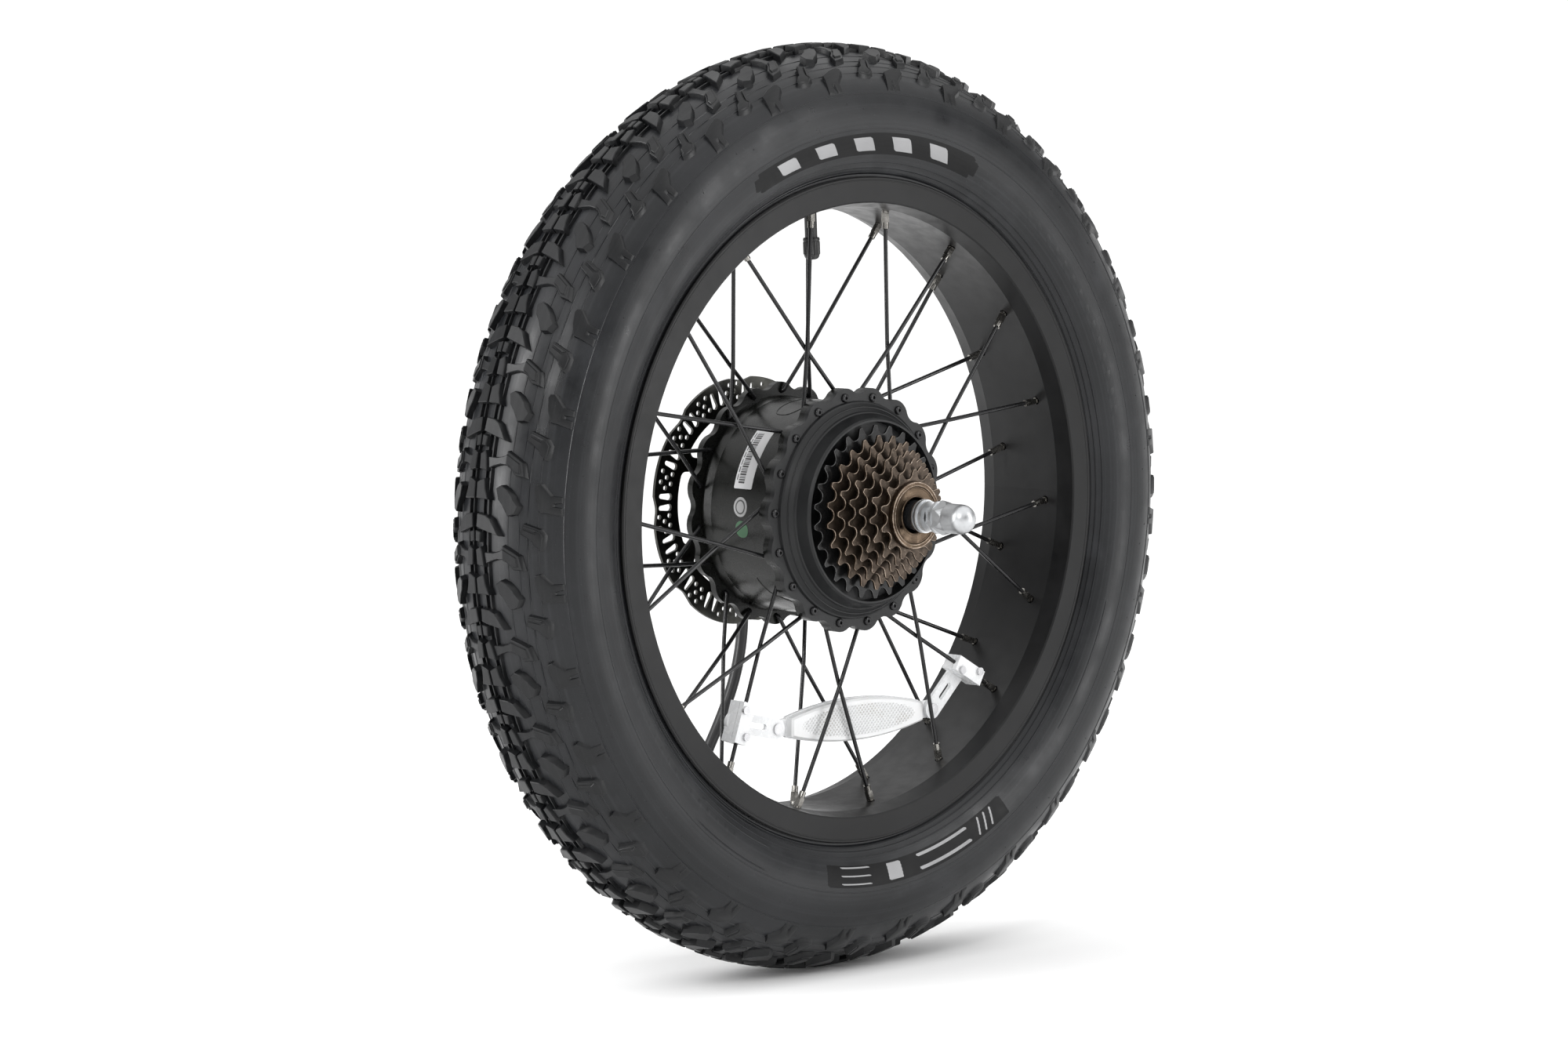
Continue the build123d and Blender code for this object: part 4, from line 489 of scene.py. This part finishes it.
def make_tyre():
    verts, faces = [], []
    half = tyre_profile()
    outside = [(r, -y) for r, y in reversed(half)] + half[1:]
    inside = [(203.1, 36.9), (203.1, 31.8), (209.6, 31.8), (222.0, 42.4), (240.0, 46.4), (262.0, 40.5),
              (277.0, 24.0), (283.3, 0.0)]
    inside += [(r, -y) for r, y in reversed(inside[:-1])]
    revolve_profile(outside + inside, 288, verts, faces)
    casing_faces = len(faces)
    for pitch in range(PITCHES):
        centre = TREAD_PHASE + 360.0 * pitch / PITCHES
        for side in (-1, 1):
            def block(outline, top, **options):
                add_block(outline, top, centre, side, verts, faces, **options)
            block(SHOULDER, SHOULDER_TOPS)
            block(NOTCHED, 0.84)
            block(NOTCHED_TOP, 1.0, base=0.7, draft=0.1, edge=0.3)
            block(NOTCHED_STRIP, 0.97, base=0.7, draft=0.05, edge=0.2)
            block(SLANTED, 1.0)
            block(PENTAGON, 0.80)
            block(PENTAGON_TOP, 1.0, base=0.7, draft=0.1, edge=0.3)
            block(BRIDGE, 0.62)
            block(CENTRE_UPPER, 1.0)
            block(CENTRE_WEDGE, 0.98)
            block(CENTRE_LOW_A, 1.0)
            block(CENTRE_LOW_B, 0.9)
    for arc, height in ((8.3, 0.42), (4.2, 0.38)):
        for side in (-1, 1):
            ridge = [casing_point(arc - 0.7, -0.1), casing_point(arc - 0.35, height),
                     casing_point(arc + 0.35, height),
                     casing_point(arc + 0.7, -0.1)]
            revolve_profile([(r, y * side) for r, y in ridge], 192, verts, faces)
    # moulding vents: thin rubber hairs on the side walls
    for side in (-1, 1):
        for pitch in range(PITCHES):
            for arc, run in ((63.5, 3.0), (68.0, -12.0)):
                angle = TREAD_PHASE + 360.0 * pitch / PITCHES + math.degrees(run / TREAD_ROLL_RADIUS)
                first = len(verts)
                for corner in ((-0.5, -0.5), (0.5, -0.5), (0.0, 0.7)):
                    r, y = casing_point(arc + corner[0], -0.1)
                    verts.append(polar(r, y * side, angle + math.degrees(corner[1] / TREAD_ROLL_RADIUS)))
                r, y = casing_point(arc + 0.9, 0.0)
                out = Vector((math.cos(arc / TIP_RADIUS), math.sin(arc / TIP_RADIUS)))
                lift = min(1.0, 0.5 + 0.2 * abs(out.x))
                verts.append(polar(r + out.x * lift, min(49.9, y + out.y * 0.3) * side, angle))
                faces += [(first, first + 1, first + 3), (first + 1, first + 2, first + 3),
                          (first + 2, first, first + 3)]
    tyre = make_object("tyre_moulded", verts, faces, M["tyre"], "wheel", 30.0)
    # The knob faces get the darker rubber copy, so the casing between them shows a painted sheen.
    tyre.data.materials.append(M["knob"])
    for polygon in tyre.data.polygons[casing_faces:]:
        polygon.material_index = 1
    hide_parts("tyre")


make_tyre()


# ---- sprockets ----------------------------------------------------------------------------------

CHAIN_PITCH = 12.7
ROLLER_SEAT = 3.97
TOOTH_RISE = 1.9
SPROCKETS = ((26, -46.1, 26.05), (23, -51.4, 26.05), (21, -56.7, 26.05), (19, -62.0, 26.05),
             (17, -67.3, 21.05), (15, -72.6, 21.05), (13, -77.9, 21.05))
SPROCKET_THICKNESS = 1.8


def plate_mesh(name, outlines, y_high, thickness, bevel, materials, body):
    """A plate across the axle from closed (x, z) outlines, with chamfered edges.

    The three materials are for its faces, its chamfers and its side walls."""
    curve = bpy.data.curves.new(name + "_outline", "CURVE")
    curve.dimensions = "2D"
    curve.fill_mode = "BOTH"
    for outline in outlines:
        spline = curve.splines.new("POLY")
        spline.points.add(len(outline) - 1)
        for point, (x, z) in zip(spline.points, outline):
            point.co = (x * MM, z * MM, 0.0, 1.0)
        spline.use_cyclic_u = True
    curve.extrude = (thickness / 2 - bevel) * MM
    curve.bevel_depth = bevel * MM
    curve.offset = -bevel * MM
    curve.bevel_resolution = 0
    holder = bpy.data.objects.new(name + "_outline", curve)
    bpy.context.scene.collection.objects.link(holder)
    shape = holder.evaluated_get(bpy.context.evaluated_depsgraph_get())
    mesh = bpy.data.meshes.new_from_object(shape)
    verts = [(v.co.x, (y_high - thickness / 2) * MM + v.co.z, v.co.y) for v in mesh.vertices]
    polygons = [tuple(polygon.vertices) for polygon in mesh.polygons]
    bpy.data.objects.remove(holder)
    bpy.data.curves.remove(curve)
    bpy.data.meshes.remove(mesh)
    obj = make_object(name, verts, polygons, materials[0], body, 25.0)
    obj.data.materials.append(materials[1])
    obj.data.materials.append(materials[2])
    for polygon in obj.data.polygons:
        across = abs(polygon.normal.y)
        polygon.material_index = 0 if across > 0.95 else (2 if across < 0.1 else 1)
    return obj


def circle(radius, count=72):
    return [(radius * math.cos(TURN * i / count), radius * math.sin(TURN * i / count)) for i in range(count)]


def sprocket_outline(teeth, phase):
    pitch_radius = CHAIN_PITCH / (2 * math.sin(math.pi / teeth))
    tip = pitch_radius + TOOTH_RISE
    points = []
    for index in range(teeth):
        angle = TURN * (index + phase) / teeth
        outward = Vector((math.cos(angle), math.sin(angle)))
        sideways = Vector((-math.sin(angle), math.cos(angle)))
        for step in range(-6, 7):
            turn = math.radians(74) * step / 6
            depth = pitch_radius - ROLLER_SEAT * math.cos(turn)
            seat = outward * depth + sideways * ROLLER_SEAT * math.sin(turn)
            points.append((seat.x, seat.y))
        for side, drop in ((-1.45, 0.55), (-0.95, 0.1), (0.95, 0.1), (1.45, 0.55)):
            crown = angle + math.pi / teeth + side / tip
            points.append(((tip - drop) * math.cos(crown), (tip - drop) * math.sin(crown)))
    return points


def make_sprockets():
    for number, (teeth, y_high, bore) in enumerate(SPROCKETS):
        black = number == 0
        phase = (number * 3 % 7) / 7
        # Chamfers get the lighter steel, partly rubbed wear and partly a painted highlight; the brown side
        # walls get a darker copy, painted shade between the sprockets.
        looks = ("black_sprocket", "black_edge_wear_and_highlight", "black_sprocket") if black else ("brown",
                "brown_edge_wear_and_highlight", "brown_side_painted_shade")
        piece = plate_mesh(f"sprocket_{teeth}t_wear_and_painted_light", [sprocket_outline(teeth, phase), circle(bore)],
                           y_high, SPROCKET_THICKNESS,
                           0.24, [M[key] for key in looks], "freewheel")
        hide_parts(f"sprocket_{teeth}t")


make_sprockets()


# ---- turned details ---------------------------------------------------------------------------------

def make_rings(name, outlines, material, body, segments=144):
    verts, faces = [], []
    for outline in outlines:
        revolve_profile(outline, segments, verts, faces)
    return make_object(name, verts, faces, material, body, 40.0)


def bead(radius, y, half_width, height):
    """A small rounded ridge standing on a face across the axle, on the side its height points to."""
    return [(radius - half_width, y - height * 0.4), (radius - half_width, y),
            (radius - half_width * 0.5, y + height),
            (radius + half_width * 0.5, y + height), (radius + half_width, y),
            (radius + half_width, y - height * 0.4)]


def make_turned_details():
    make_rings("rim_face_beads", [bead(206.7, 40.0 * s, 0.45, 0.22 * s) for s in (-1, 1)], M["rim"],
               "wheel", 288)
    # The freewheel face rings use the lighter chamfer steel: a painted highlight along the ring lines, with
    # rubbed wear.
    make_rings("freewheel_face_rings", [bead(20.4, -82.5, 0.5, -0.35), bead(18.5, -82.5, 0.35, -0.25)],
               M["brown_edge_wear_and_highlight"], "freewheel")
    make_rings("cone_face_rings", [bead(16.9, -82.4, 0.3, -0.25), bead(12.2, -82.4, 0.5, -0.3)],
               M["bronze"], "wheel")
    make_rings("axle_sleeve_skin", [[(9.3, -87.5), (9.52, -87.5), (9.52, -56.0), (9.3, -56.0)]],
               M["screw"], "axle_assembly")
    make_rings("washer_edges", [[(10.0, -88.6), (10.45, -88.6), (10.45, -89.2), (10.0, -89.2)],
                                [(10.0, -90.9), (10.45, -90.9), (10.45, -91.5), (10.0, -91.5)]],
               M["zinc"], "axle_assembly")
    # A black ring set in the gap between the two washers: painted shade in the gap.
    make_rings("washer_gap_painted_shade", [[(8.8, -89.45), (9.12, -89.45), (9.12, -90.15), (8.8, -90.15)]],
               M["screw"], "axle_assembly")
    steps = [bead(64.9, -34.9, 0.5, -0.3)]
    make_rings("cover_step_rings", steps, M["cover"], "wheel")


THREAD_CREST = 5.98
THREAD_ROOT = 5.3
THREAD_PITCH = 1.25
FLAT_HALF = 4.95


def make_threads():
    """Thread crests on the round sides of the axle, between its two flats, in both dropout gaps."""
    verts, faces = [], []
    start = math.degrees(math.acos(FLAT_HALF / THREAD_CREST))
    count = 12
    for y_first, side in ((-101.6, 1), (95.4, 1), (106.0 + 5.4, 1)):
        turns = 1 if y_first > 100 else 5
        for ridge in range(turns):
            y = y_first + ridge * THREAD_PITCH * side
            for half in (0.0, 180.0):
                first = len(verts)
                for i in range(count + 1):
                    angle = half + start + (180.0 - 2 * start) * i / count
                    verts += [polar(THREAD_ROOT, y - 0.5, angle), polar(THREAD_CREST, y, angle),
                              polar(THREAD_ROOT, y + 0.5, angle)]
                for i in range(count):
                    a = first + i * 3
                    b = a + 3
                    faces += [(a, a + 1, b + 1, b), (a + 1, a + 2, b + 2, b + 1), (a + 2, a, b, b + 2)]
                faces += [(first, first + 2, first + 1), (first + count * 3, first + count * 3 + 1,
                                                          first + count * 3 + 2)]
    make_object("axle_thread_crests", verts, faces, M["zinc"], "axle_assembly", 20.0)


NUT_SEAT_Y = -102.0
NUT_ACROSS_FLATS = 18.6
NUT_DOME_RADIUS = 9.27
NUT_HEIGHT = 28.0
NUT_BORE = 6.1
NUT_BORE_DEPTH = 19.2


def nut_envelope(depth):
    """Radius of the turned outline of the domed nut at a depth from its seat."""
    if depth < 1.6:
        return 10.2
    if depth < 2.0:
        return 9.7
    if depth < 2.4:
        return 10.1
    if depth < 4.6:
        return 10.74
    if depth < 9.6:
        return 10.74 - (depth - 4.6) * 0.29
    rise = depth - (NUT_HEIGHT - NUT_DOME_RADIUS)
    if rise <= 0:
        return NUT_DOME_RADIUS
    return math.sqrt(max(0.01, NUT_DOME_RADIUS ** 2 - rise ** 2))


def make_domed_nut():
    """The drive-side nut: a flange, a short hexagon with a turned chamfer, and a smooth dome."""
    count = 144
    depths = [0.0, 0.2, 1.5, 1.65, 1.95, 2.05, 2.35] + [2.45 + 0.25 * i for i in range(30)]
    depths += [10.2 + 0.85 * i for i in range(11)]
    dome_foot = NUT_HEIGHT - NUT_DOME_RADIUS
    depths += [dome_foot + NUT_DOME_RADIUS * math.sin(TURN / 4 * i / 14) for i in range(1, 15)]
    verts, faces = [], []
    for depth in depths:
        hexagonal = 2.4 < depth < 10.2
        for i in range(count):
            degrees = 360.0 * i / count
            radius = nut_envelope(depth)
            if hexagonal:
                from_flat = math.radians((degrees + 30.0) % 60.0 - 30.0)
                radius = min(radius, NUT_ACROSS_FLATS / 2 / math.cos(from_flat))
            verts.append(polar(radius, NUT_SEAT_Y - depth, degrees))
    last = len(depths) - 1
    for depth in (NUT_BORE_DEPTH, 0.0):
        verts += [polar(NUT_BORE, NUT_SEAT_Y - depth, 360.0 * i / count) for i in range(count)]
    for row in range(last + 2):
        for i in range(count):
            k = (i + 1) % count
            if row == last:
                continue
            a, b = row * count, (row + 1) * count
            faces.append((a + i, a + k, b + k, b + i))
    seat = (last + 2) * count
    for i in range(count):
        k = (i + 1) % count
        faces.append((i, k, seat + k, seat + i))
    faces.append(tuple(last * count + i for i in range(count)))
    faces.append(tuple((last + 1) * count + i for i in range(count)))
    nut = make_object("domed_nut", verts, faces, M["zinc"], "axle_assembly", 22.0)
    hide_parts("drive_side_acorn_nut")


make_turned_details()
make_threads()
make_domed_nut()


# ---- labels and raised lines on the motor barrel ------------------------------------------------------

BARREL_RADIUS = 67.6


def barrel_patch(name, sheets, material, lift=0.16):
    """Thin sheets on the barrel. Each sheet is a list of rows (degrees, y_low, y_high)."""
    verts, faces = [], []
    for rows in sheets:
        first = len(verts)
        for degrees, y_low, y_high in rows:
            for radius in (BARREL_RADIUS - 0.2, BARREL_RADIUS + lift):
                verts += [polar(radius, y_low, degrees), polar(radius, y_high, degrees)]
        last = first + 4 * (len(rows) - 1)
        for a in range(first, last, 4):
            b = a + 4
            faces += [(a + 2, a + 3, b + 3, b + 2), (a, a + 2, b + 2, b), (a + 3, a + 1, b + 1, b + 3),
                      (a, b, b + 1, a + 1)]
        faces += [(first, first + 1, first + 3, first + 2), (last, last + 2, last + 3, last + 1)]
    return make_object(name, verts, faces, material, "wheel")


def round_rows(centre, y, half_run, half_width, count=24):
    """Rows of an oval sticker: half_run is round the barrel and half_width along the axle."""
    rows = []
    for i in range(count + 1):
        u = -math.cos(math.pi * i / count) * 0.999
        width = half_width * math.sqrt(max(0.0, 1 - u * u)) + 0.01
        rows.append((centre + math.degrees(u * half_run / BARREL_RADIUS), y - width, y + width))
    return rows


def even_rows(start, end, y_low, y_high):
    count = max(2, int(abs(end - start) / 1.5))
    return [(start + (end - start) * i / count, y_low, y_high) for i in range(count + 1)]


# places on the barrel are in degrees round the axle and mm along it
LABEL_START, LABEL_END = 131.0, 167.0
LABEL_LOW, LABEL_HIGH = -4.0, 11.5
LABEL_CORNER = 0.6
LABEL_CORNER_TURN = 0.5
BARS_START, BARS_END = 134.0, 163.5
SMALL_BARS = 7
INK_LIFT = 0.20
DOT_LIFT = 0.24
ROUND_STICKER_PLACE = (176.7, 4.2)


def make_labels():
    """A blank rating label with bars on it, and two blank stickers."""
    label = even_rows(LABEL_START, LABEL_END, LABEL_LOW, LABEL_HIGH)
    corner = (LABEL_LOW + LABEL_CORNER, LABEL_HIGH - LABEL_CORNER)
    label[0] = (LABEL_START, *corner)
    label.insert(1, (LABEL_START + LABEL_CORNER_TURN, LABEL_LOW, LABEL_HIGH))
    label[-1] = (LABEL_END, *corner)
    label.insert(-1, (LABEL_END - LABEL_CORNER_TURN, LABEL_LOW, LABEL_HIGH))
    barrel_patch("rating_label", [label], M["label"])
    bars = []
    place = BARS_START
    index = 0
    while place < BARS_END:
        width = 0.28 + 0.26 * ((index * 5) % 4)
        bars.append(even_rows(place, place + width, 3.2, 8.4))
        place += width + 0.42 + 0.2 * ((index * 3) % 3)
        index += 1
    for i in range(SMALL_BARS):
        bars.append(even_rows(BARS_START + 4.2 * i, BARS_START + 3.2 + 4.2 * i, 9.5, 10.2))
    barrel_patch("rating_label_bars", bars, M["label_ink"], INK_LIFT)
    for name, half_run, half_width, ink, slot, lift in (
        ("round_sticker", 6.2, 5.8, "label_grey", "white_plastic", 0.16),
        ("round_sticker_ring", 4.6, 4.2, "label_ink", "black_plastic", INK_LIFT),
        ("round_sticker_dot", 3.6, 3.2, "label_grey", "white_plastic", DOT_LIFT),
    ):
        rows = round_rows(*ROUND_STICKER_PLACE, half_run, half_width)
        barrel_patch(name, [rows], M[ink], lift)
    barrel_patch("oval_sticker", [round_rows(188.6, 3.6, 5.4, 5.4)], M["label_green"])


def barrel_line(name, points, closed):
    """A fine raised line on the barrel through (degrees, y) points."""
    curve = bpy.data.curves.new(name, "CURVE")
    curve.dimensions = "3D"
    spline = curve.splines.new("POLY")
    spline.points.add(len(points) - 1)
    for point, (degrees, y) in zip(spline.points, points):
        point.co = (*polar(BARREL_RADIUS, y, degrees), 1.0)
    spline.use_cyclic_u = closed
    curve.bevel_depth = 0.32 * MM
    curve.bevel_resolution = 2
    curve.use_fill_caps = not closed
    curve.materials.append(M["hub"])
    line = bpy.data.objects.new(name, curve)
    bpy.context.scene.collection.objects.link(line)
    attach(line, "wheel")


def make_barrel_lines():
    oval = []
    for i in range(48):
        turn = TURN * i / 48
        stretch = 1.0 / (abs(math.cos(turn)) ** 3 + abs(math.sin(turn)) ** 3) ** (1 / 3)
        oval.append((97.0 + 21.0 * stretch * math.cos(turn), 4.0 + 10.0 * stretch * math.sin(turn)))
    barrel_line("barrel_oval", oval, True)
    bent = [(-142.0, 4.0), (-137.0, 3.0), (-132.0, 1.5), (-128.5, -1.0), (-126.5, -6.0),
            (-123.5, -11.0), (-119.0, -13.5),
            (-114.0, -18.0)]
    barrel_line("barrel_bent_line", bent, False)


make_labels()
make_barrel_lines()


# ---- printed bars and moulded marks on the tyre's side walls --------------------------------------------

def wall_place(radius, degrees, lift, side):
    """A point on the side wall, raised along its normal."""
    reach = radius - SIDE_X
    depth = math.sqrt(SIDE_R ** 2 - reach ** 2)
    raised = 1 + lift / SIDE_R
    return polar(SIDE_X + reach * raised, (SIDE_Y + depth * raised) * side, degrees)


def add_wall_bar(start, end, r_low, r_high, slant, lift, side, verts, faces):
    """A bar on the side wall; slant is how many degrees its outer edge is moved round."""
    across = max(2, int(abs(r_high - r_low) / 2))
    along = max(2, int(abs(end - start) / 0.8))
    first = len(verts)
    for i in range(along + 1):
        for j in range(across + 1):
            share = j / across
            degrees = start + (end - start) * i / along + slant * share
            edge = i in (0, along) or j in (0, across)
            verts.append(wall_place(r_low + (r_high - r_low) * share, degrees, -0.05 if edge else lift, side))
    for i in range(along):
        for j in range(across):
            a = first + i * (across + 1) + j
            b = a + across + 1
            faces.append((a, a + 1, b + 1, b))


def wall_bars(name, bars, lift, side, material):
    verts, faces = [], []
    for start, end, r_low, r_high, slant in bars:
        add_wall_bar(start, end, r_low, r_high, slant, lift, side, verts, faces)
    return make_object(name, verts, faces, material, "wheel", 60.0)


GROUND_LIFT = 0.10
PRINT_LIFT = 0.22
MARK_LIFT = 0.34


def make_wall_marks():
    """Bars are (start, end, inner radius, outer radius, slant), in degrees and mm."""
    top = [(72.5 + 8.4 * i, 77.5 + 8.4 * i, 224.0, 235.0, 1.6) for i in range(5)]
    low = [(-62.0 - 1.6 * i, -61.1 - 1.6 * i, 222.5, 235.5, -1.4) for i in range(3)]
    low += [(-80.5, -67.5, 222.5, 227.0, 0.0), (-80.5, -67.5, 230.5, 235.5, 0.0)]
    low += [(-87.5, -83.5, 222.5, 235.5, 0.0)]
    low += [(-98.0, -90.5, r, r + 1.8, 0.0) for r in (223.0, 228.0, 233.0)]
    for side in (-1, 1):
        tag = "drive" if side < 0 else "brake"
        grounds = [(67.5, 116.5, 221.8, 237.2, 0.0), (66.4, 117.6, 224.4, 234.6, 0.0),
                   (-101.0, -58.5, 221.5, 237.0, 0.0)]
        wall_bars("wall_ground_" + tag, grounds, GROUND_LIFT, side, M["patch"])
        wall_bars("wall_print_" + tag, top + low, PRINT_LIFT, side, M["print"])
        marks = [(12.0 + 3.0 * i, 13.6 + 3.0 * i, 226.0, 232.0, 0.6) for i in range(14)]
        marks += [(196.0 + 2.4 * i, 197.2 + 2.4 * i, 224.0, 229.0, 0.0) for i in range(18)]
        marks += [(228.0, 246.0, 221.0, 222.2, 0.0), (228.0, 246.0, 236.0, 237.2, 0.0),
                  (318.0, 342.0, 228.0, 229.4, 0.0)]
        marks += [(150.0 + 5.0 * i, 151.0 + 5.0 * i, 219.5, 222.0, 0.3) for i in range(7)]
        wall_bars("wall_marks_" + tag, marks, MARK_LIFT, side, M["tyre"])


make_wall_marks()


# ---- valve cap -------------------------------------------------------------------------------------

VALVE_ANGLE = 93.15
CAP_PROFILE = ((170.4, 4.1), (170.4, 4.9), (169.6, 5.3), (168.6, 5.3), (168.2, 4.95), (167.6, 5.35),
               (160.2, 5.35),
               (159.6, 4.9), (158.2, 4.5), (157.2, 3.8), (156.6, 2.4))
CAP_RIBS = 18
RIB_DEPTH = 0.22


def make_valve_cap():
    """A ribbed plastic cap on the valve, pointing at the hub."""
    count = CAP_RIBS * 4
    a = math.radians(VALVE_ANGLE)
    outward = Vector((math.cos(a), 0.0, math.sin(a)))
    across = Vector((-math.sin(a), 0.0, math.cos(a)))
    verts, faces = [], []
    for distance, radius in CAP_PROFILE:
        ribbed = 159.0 < distance < 168.0
        for i in range(count):
            turn = TURN * i / count
            r = radius - (RIB_DEPTH * (1 + math.cos(CAP_RIBS * turn)) if ribbed else 0.0)
            place = outward * distance + across * (r * math.cos(turn)) + Vector((0.0,
                    r * math.sin(turn), 0.0))
            verts.append(place * MM)
    rows = len(CAP_PROFILE)
    for row in range(rows - 1):
        for i in range(count):
            k = (i + 1) % count
            faces.append((row * count + i, row * count + k, (row + 1) * count + k, (row + 1) * count + i))
    faces.append(tuple(range(count)))
    faces.append(tuple((rows - 1) * count + i for i in range(count)))
    cap = make_object("valve_cap_ribbed", verts, faces, M["plastic"], "wheel", 30.0)
    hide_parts("valve_cap")


make_valve_cap()


# ---- cable ---------------------------------------------------------------------------------------

CABLE_ROUTE = (
    (7.5, 86.0, -27.0), (12.5, 86.0, -48.0), (15.5, 86.5, -72.0), (14.0, 87.0, -97.0), (7.5, 87.5, -121.0),
    (-4.0, 88.0, -144.0), (-17.5, 88.5, -166.0), (-28.0, 88.5, -189.0), (-32.5, 88.5, -213.0),
    (-33.0, 88.5, -232.0),
)


def make_cable():
    curve = bpy.data.curves.new("motor_cable_line", "CURVE")
    curve.dimensions = "3D"
    spline = curve.splines.new("NURBS")
    spline.points.add(len(CABLE_ROUTE) - 1)
    for point, place in zip(spline.points, CABLE_ROUTE):
        point.co = (*mm(*place), 1.0)
    spline.order_u = 3
    spline.use_endpoint_u = True
    spline.resolution_u = 12
    curve.bevel_depth = 3.75 * MM
    curve.bevel_resolution = 6
    curve.use_fill_caps = True
    curve.materials.append(M["cable"])
    cable = bpy.data.objects.new("motor_cable_sheath", curve)
    bpy.context.scene.collection.objects.link(cable)
    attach(cable, "axle_assembly")
    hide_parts("motor_cable")


make_cable()


# ---- stage, light and camera ------------------------------------------------------------------------

ROOM_LEVEL = 0.20
CEILING_LEVEL = 1.35
BACKDROP_LEVEL = 0.92

def make_stage():
    floor_z = cad_low.z
    size = 14.0
    mesh = bpy.data.meshes.new("floor")
    mesh.from_pydata([(-size, -size, floor_z), (size, -size, floor_z), (size, size, floor_z),
                      (-size, size, floor_z)],
                     [], [(0, 1, 2, 3)])
    floor = bpy.data.objects.new("floor", mesh)
    bpy.context.scene.collection.objects.link(floor)
    g = Graph("floor_pale")
    colour = g.blend(g.noise(3.0), rgb(0.93, 0.93, 0.93), rgb(0.95, 0.95, 0.95))
    mesh.materials.append(g.finish(colour, 0.9, None, Specular_IOR_Level=0.0))
    make_world()


def make_world():
    """A dim studio with a broad white ceiling and a low white backdrop all round."""
    world = bpy.data.worlds.new("studio")
    bpy.context.scene.world = world
    world.use_nodes = True
    tree = world.node_tree
    direction = tree.nodes.new("ShaderNodeTexCoord").outputs["Generated"]

    def facing(axis, low, high, gain):
        dot = tree.nodes.new("ShaderNodeVectorMath")
        dot.operation = "DOT_PRODUCT"
        dot.inputs[1].default_value = axis
        tree.links.new(direction, dot.inputs[0])
        ramp = tree.nodes.new("ShaderNodeMapRange")
        ramp.interpolation_type = "SMOOTHSTEP"
        ramp.inputs["From Min"].default_value = low
        ramp.inputs["From Max"].default_value = high
        ramp.inputs["To Min"].default_value = 0.0
        ramp.inputs["To Max"].default_value = gain
        tree.links.new(dot.outputs["Value"], ramp.inputs["Value"])
        return ramp.outputs["Result"]

    overhead = facing((0.0, 0.0, 1.0), 0.22, 0.8, CEILING_LEVEL)
    wall = facing((0.0, 0.0, -1.0), -0.20, -0.13, BACKDROP_LEVEL)
    total = tree.nodes.new("ShaderNodeMath")
    total.operation = "ADD"
    tree.links.new(overhead, total.inputs[0])
    tree.links.new(wall, total.inputs[1])
    level = tree.nodes.new("ShaderNodeMath")
    level.operation = "ADD"
    tree.links.new(total.outputs[0], level.inputs[0])
    level.inputs[1].default_value = ROOM_LEVEL
    tree.links.new(level.outputs[0], tree.nodes["Background"].inputs["Strength"])
    tree.nodes["Background"].inputs["Color"].default_value = (1, 1, 1, 1)


def area_light(name, place, target, width, height, power):
    data = bpy.data.lights.new(name, "AREA")
    data.shape = "RECTANGLE"
    data.size = width
    data.size_y = height
    data.energy = power
    light = bpy.data.objects.new(name, data)
    light.location = place
    direction = Vector(target) - Vector(place)
    light.rotation_mode = "QUATERNION"
    light.rotation_quaternion = direction.to_track_quat("-Z", "Y")
    bpy.context.scene.collection.objects.link(light)


CAMERA_AZIMUTH = -44.808
CAMERA_ELEVATION = 5.317
CAMERA_PLACE = (-2.3513, -2.3335, 0.2984)
CAMERA_LENS = 121.0


def make_camera():
    data = bpy.data.cameras.new("camera")
    data.sensor_width = 36.0
    data.lens = CAMERA_LENS
    data.clip_end = 100.0
    camera = bpy.data.objects.new("camera", data)
    a = math.radians(CAMERA_AZIMUTH)
    e = math.radians(CAMERA_ELEVATION)
    back = Vector((math.sin(a) * math.cos(e), -math.cos(a) * math.cos(e), math.sin(e)))
    camera.location = CAMERA_PLACE
    camera.rotation_mode = "QUATERNION"
    camera.rotation_quaternion = (-back).to_track_quat("-Z", "Y")
    bpy.context.scene.collection.objects.link(camera)
    bpy.context.scene.camera = camera


make_stage()
WHEEL_CENTRE = (0, 0, 0)
# place, width and height in metres, power in watts
area_light("left_strip", (-2.2, 0.62, 0.5), WHEEL_CENTRE, 0.30, 2.2, 48)
area_light("front_soft", (-2.1, -1.3, 1.3), WHEEL_CENTRE, 0.35, 0.9, 16)
area_light("right_strip", (1.3, -2.1, 0.6), WHEEL_CENTRE, 0.35, 2.0, 22)
make_camera()
bpy.context.scene.view_settings.view_transform = "Standard"
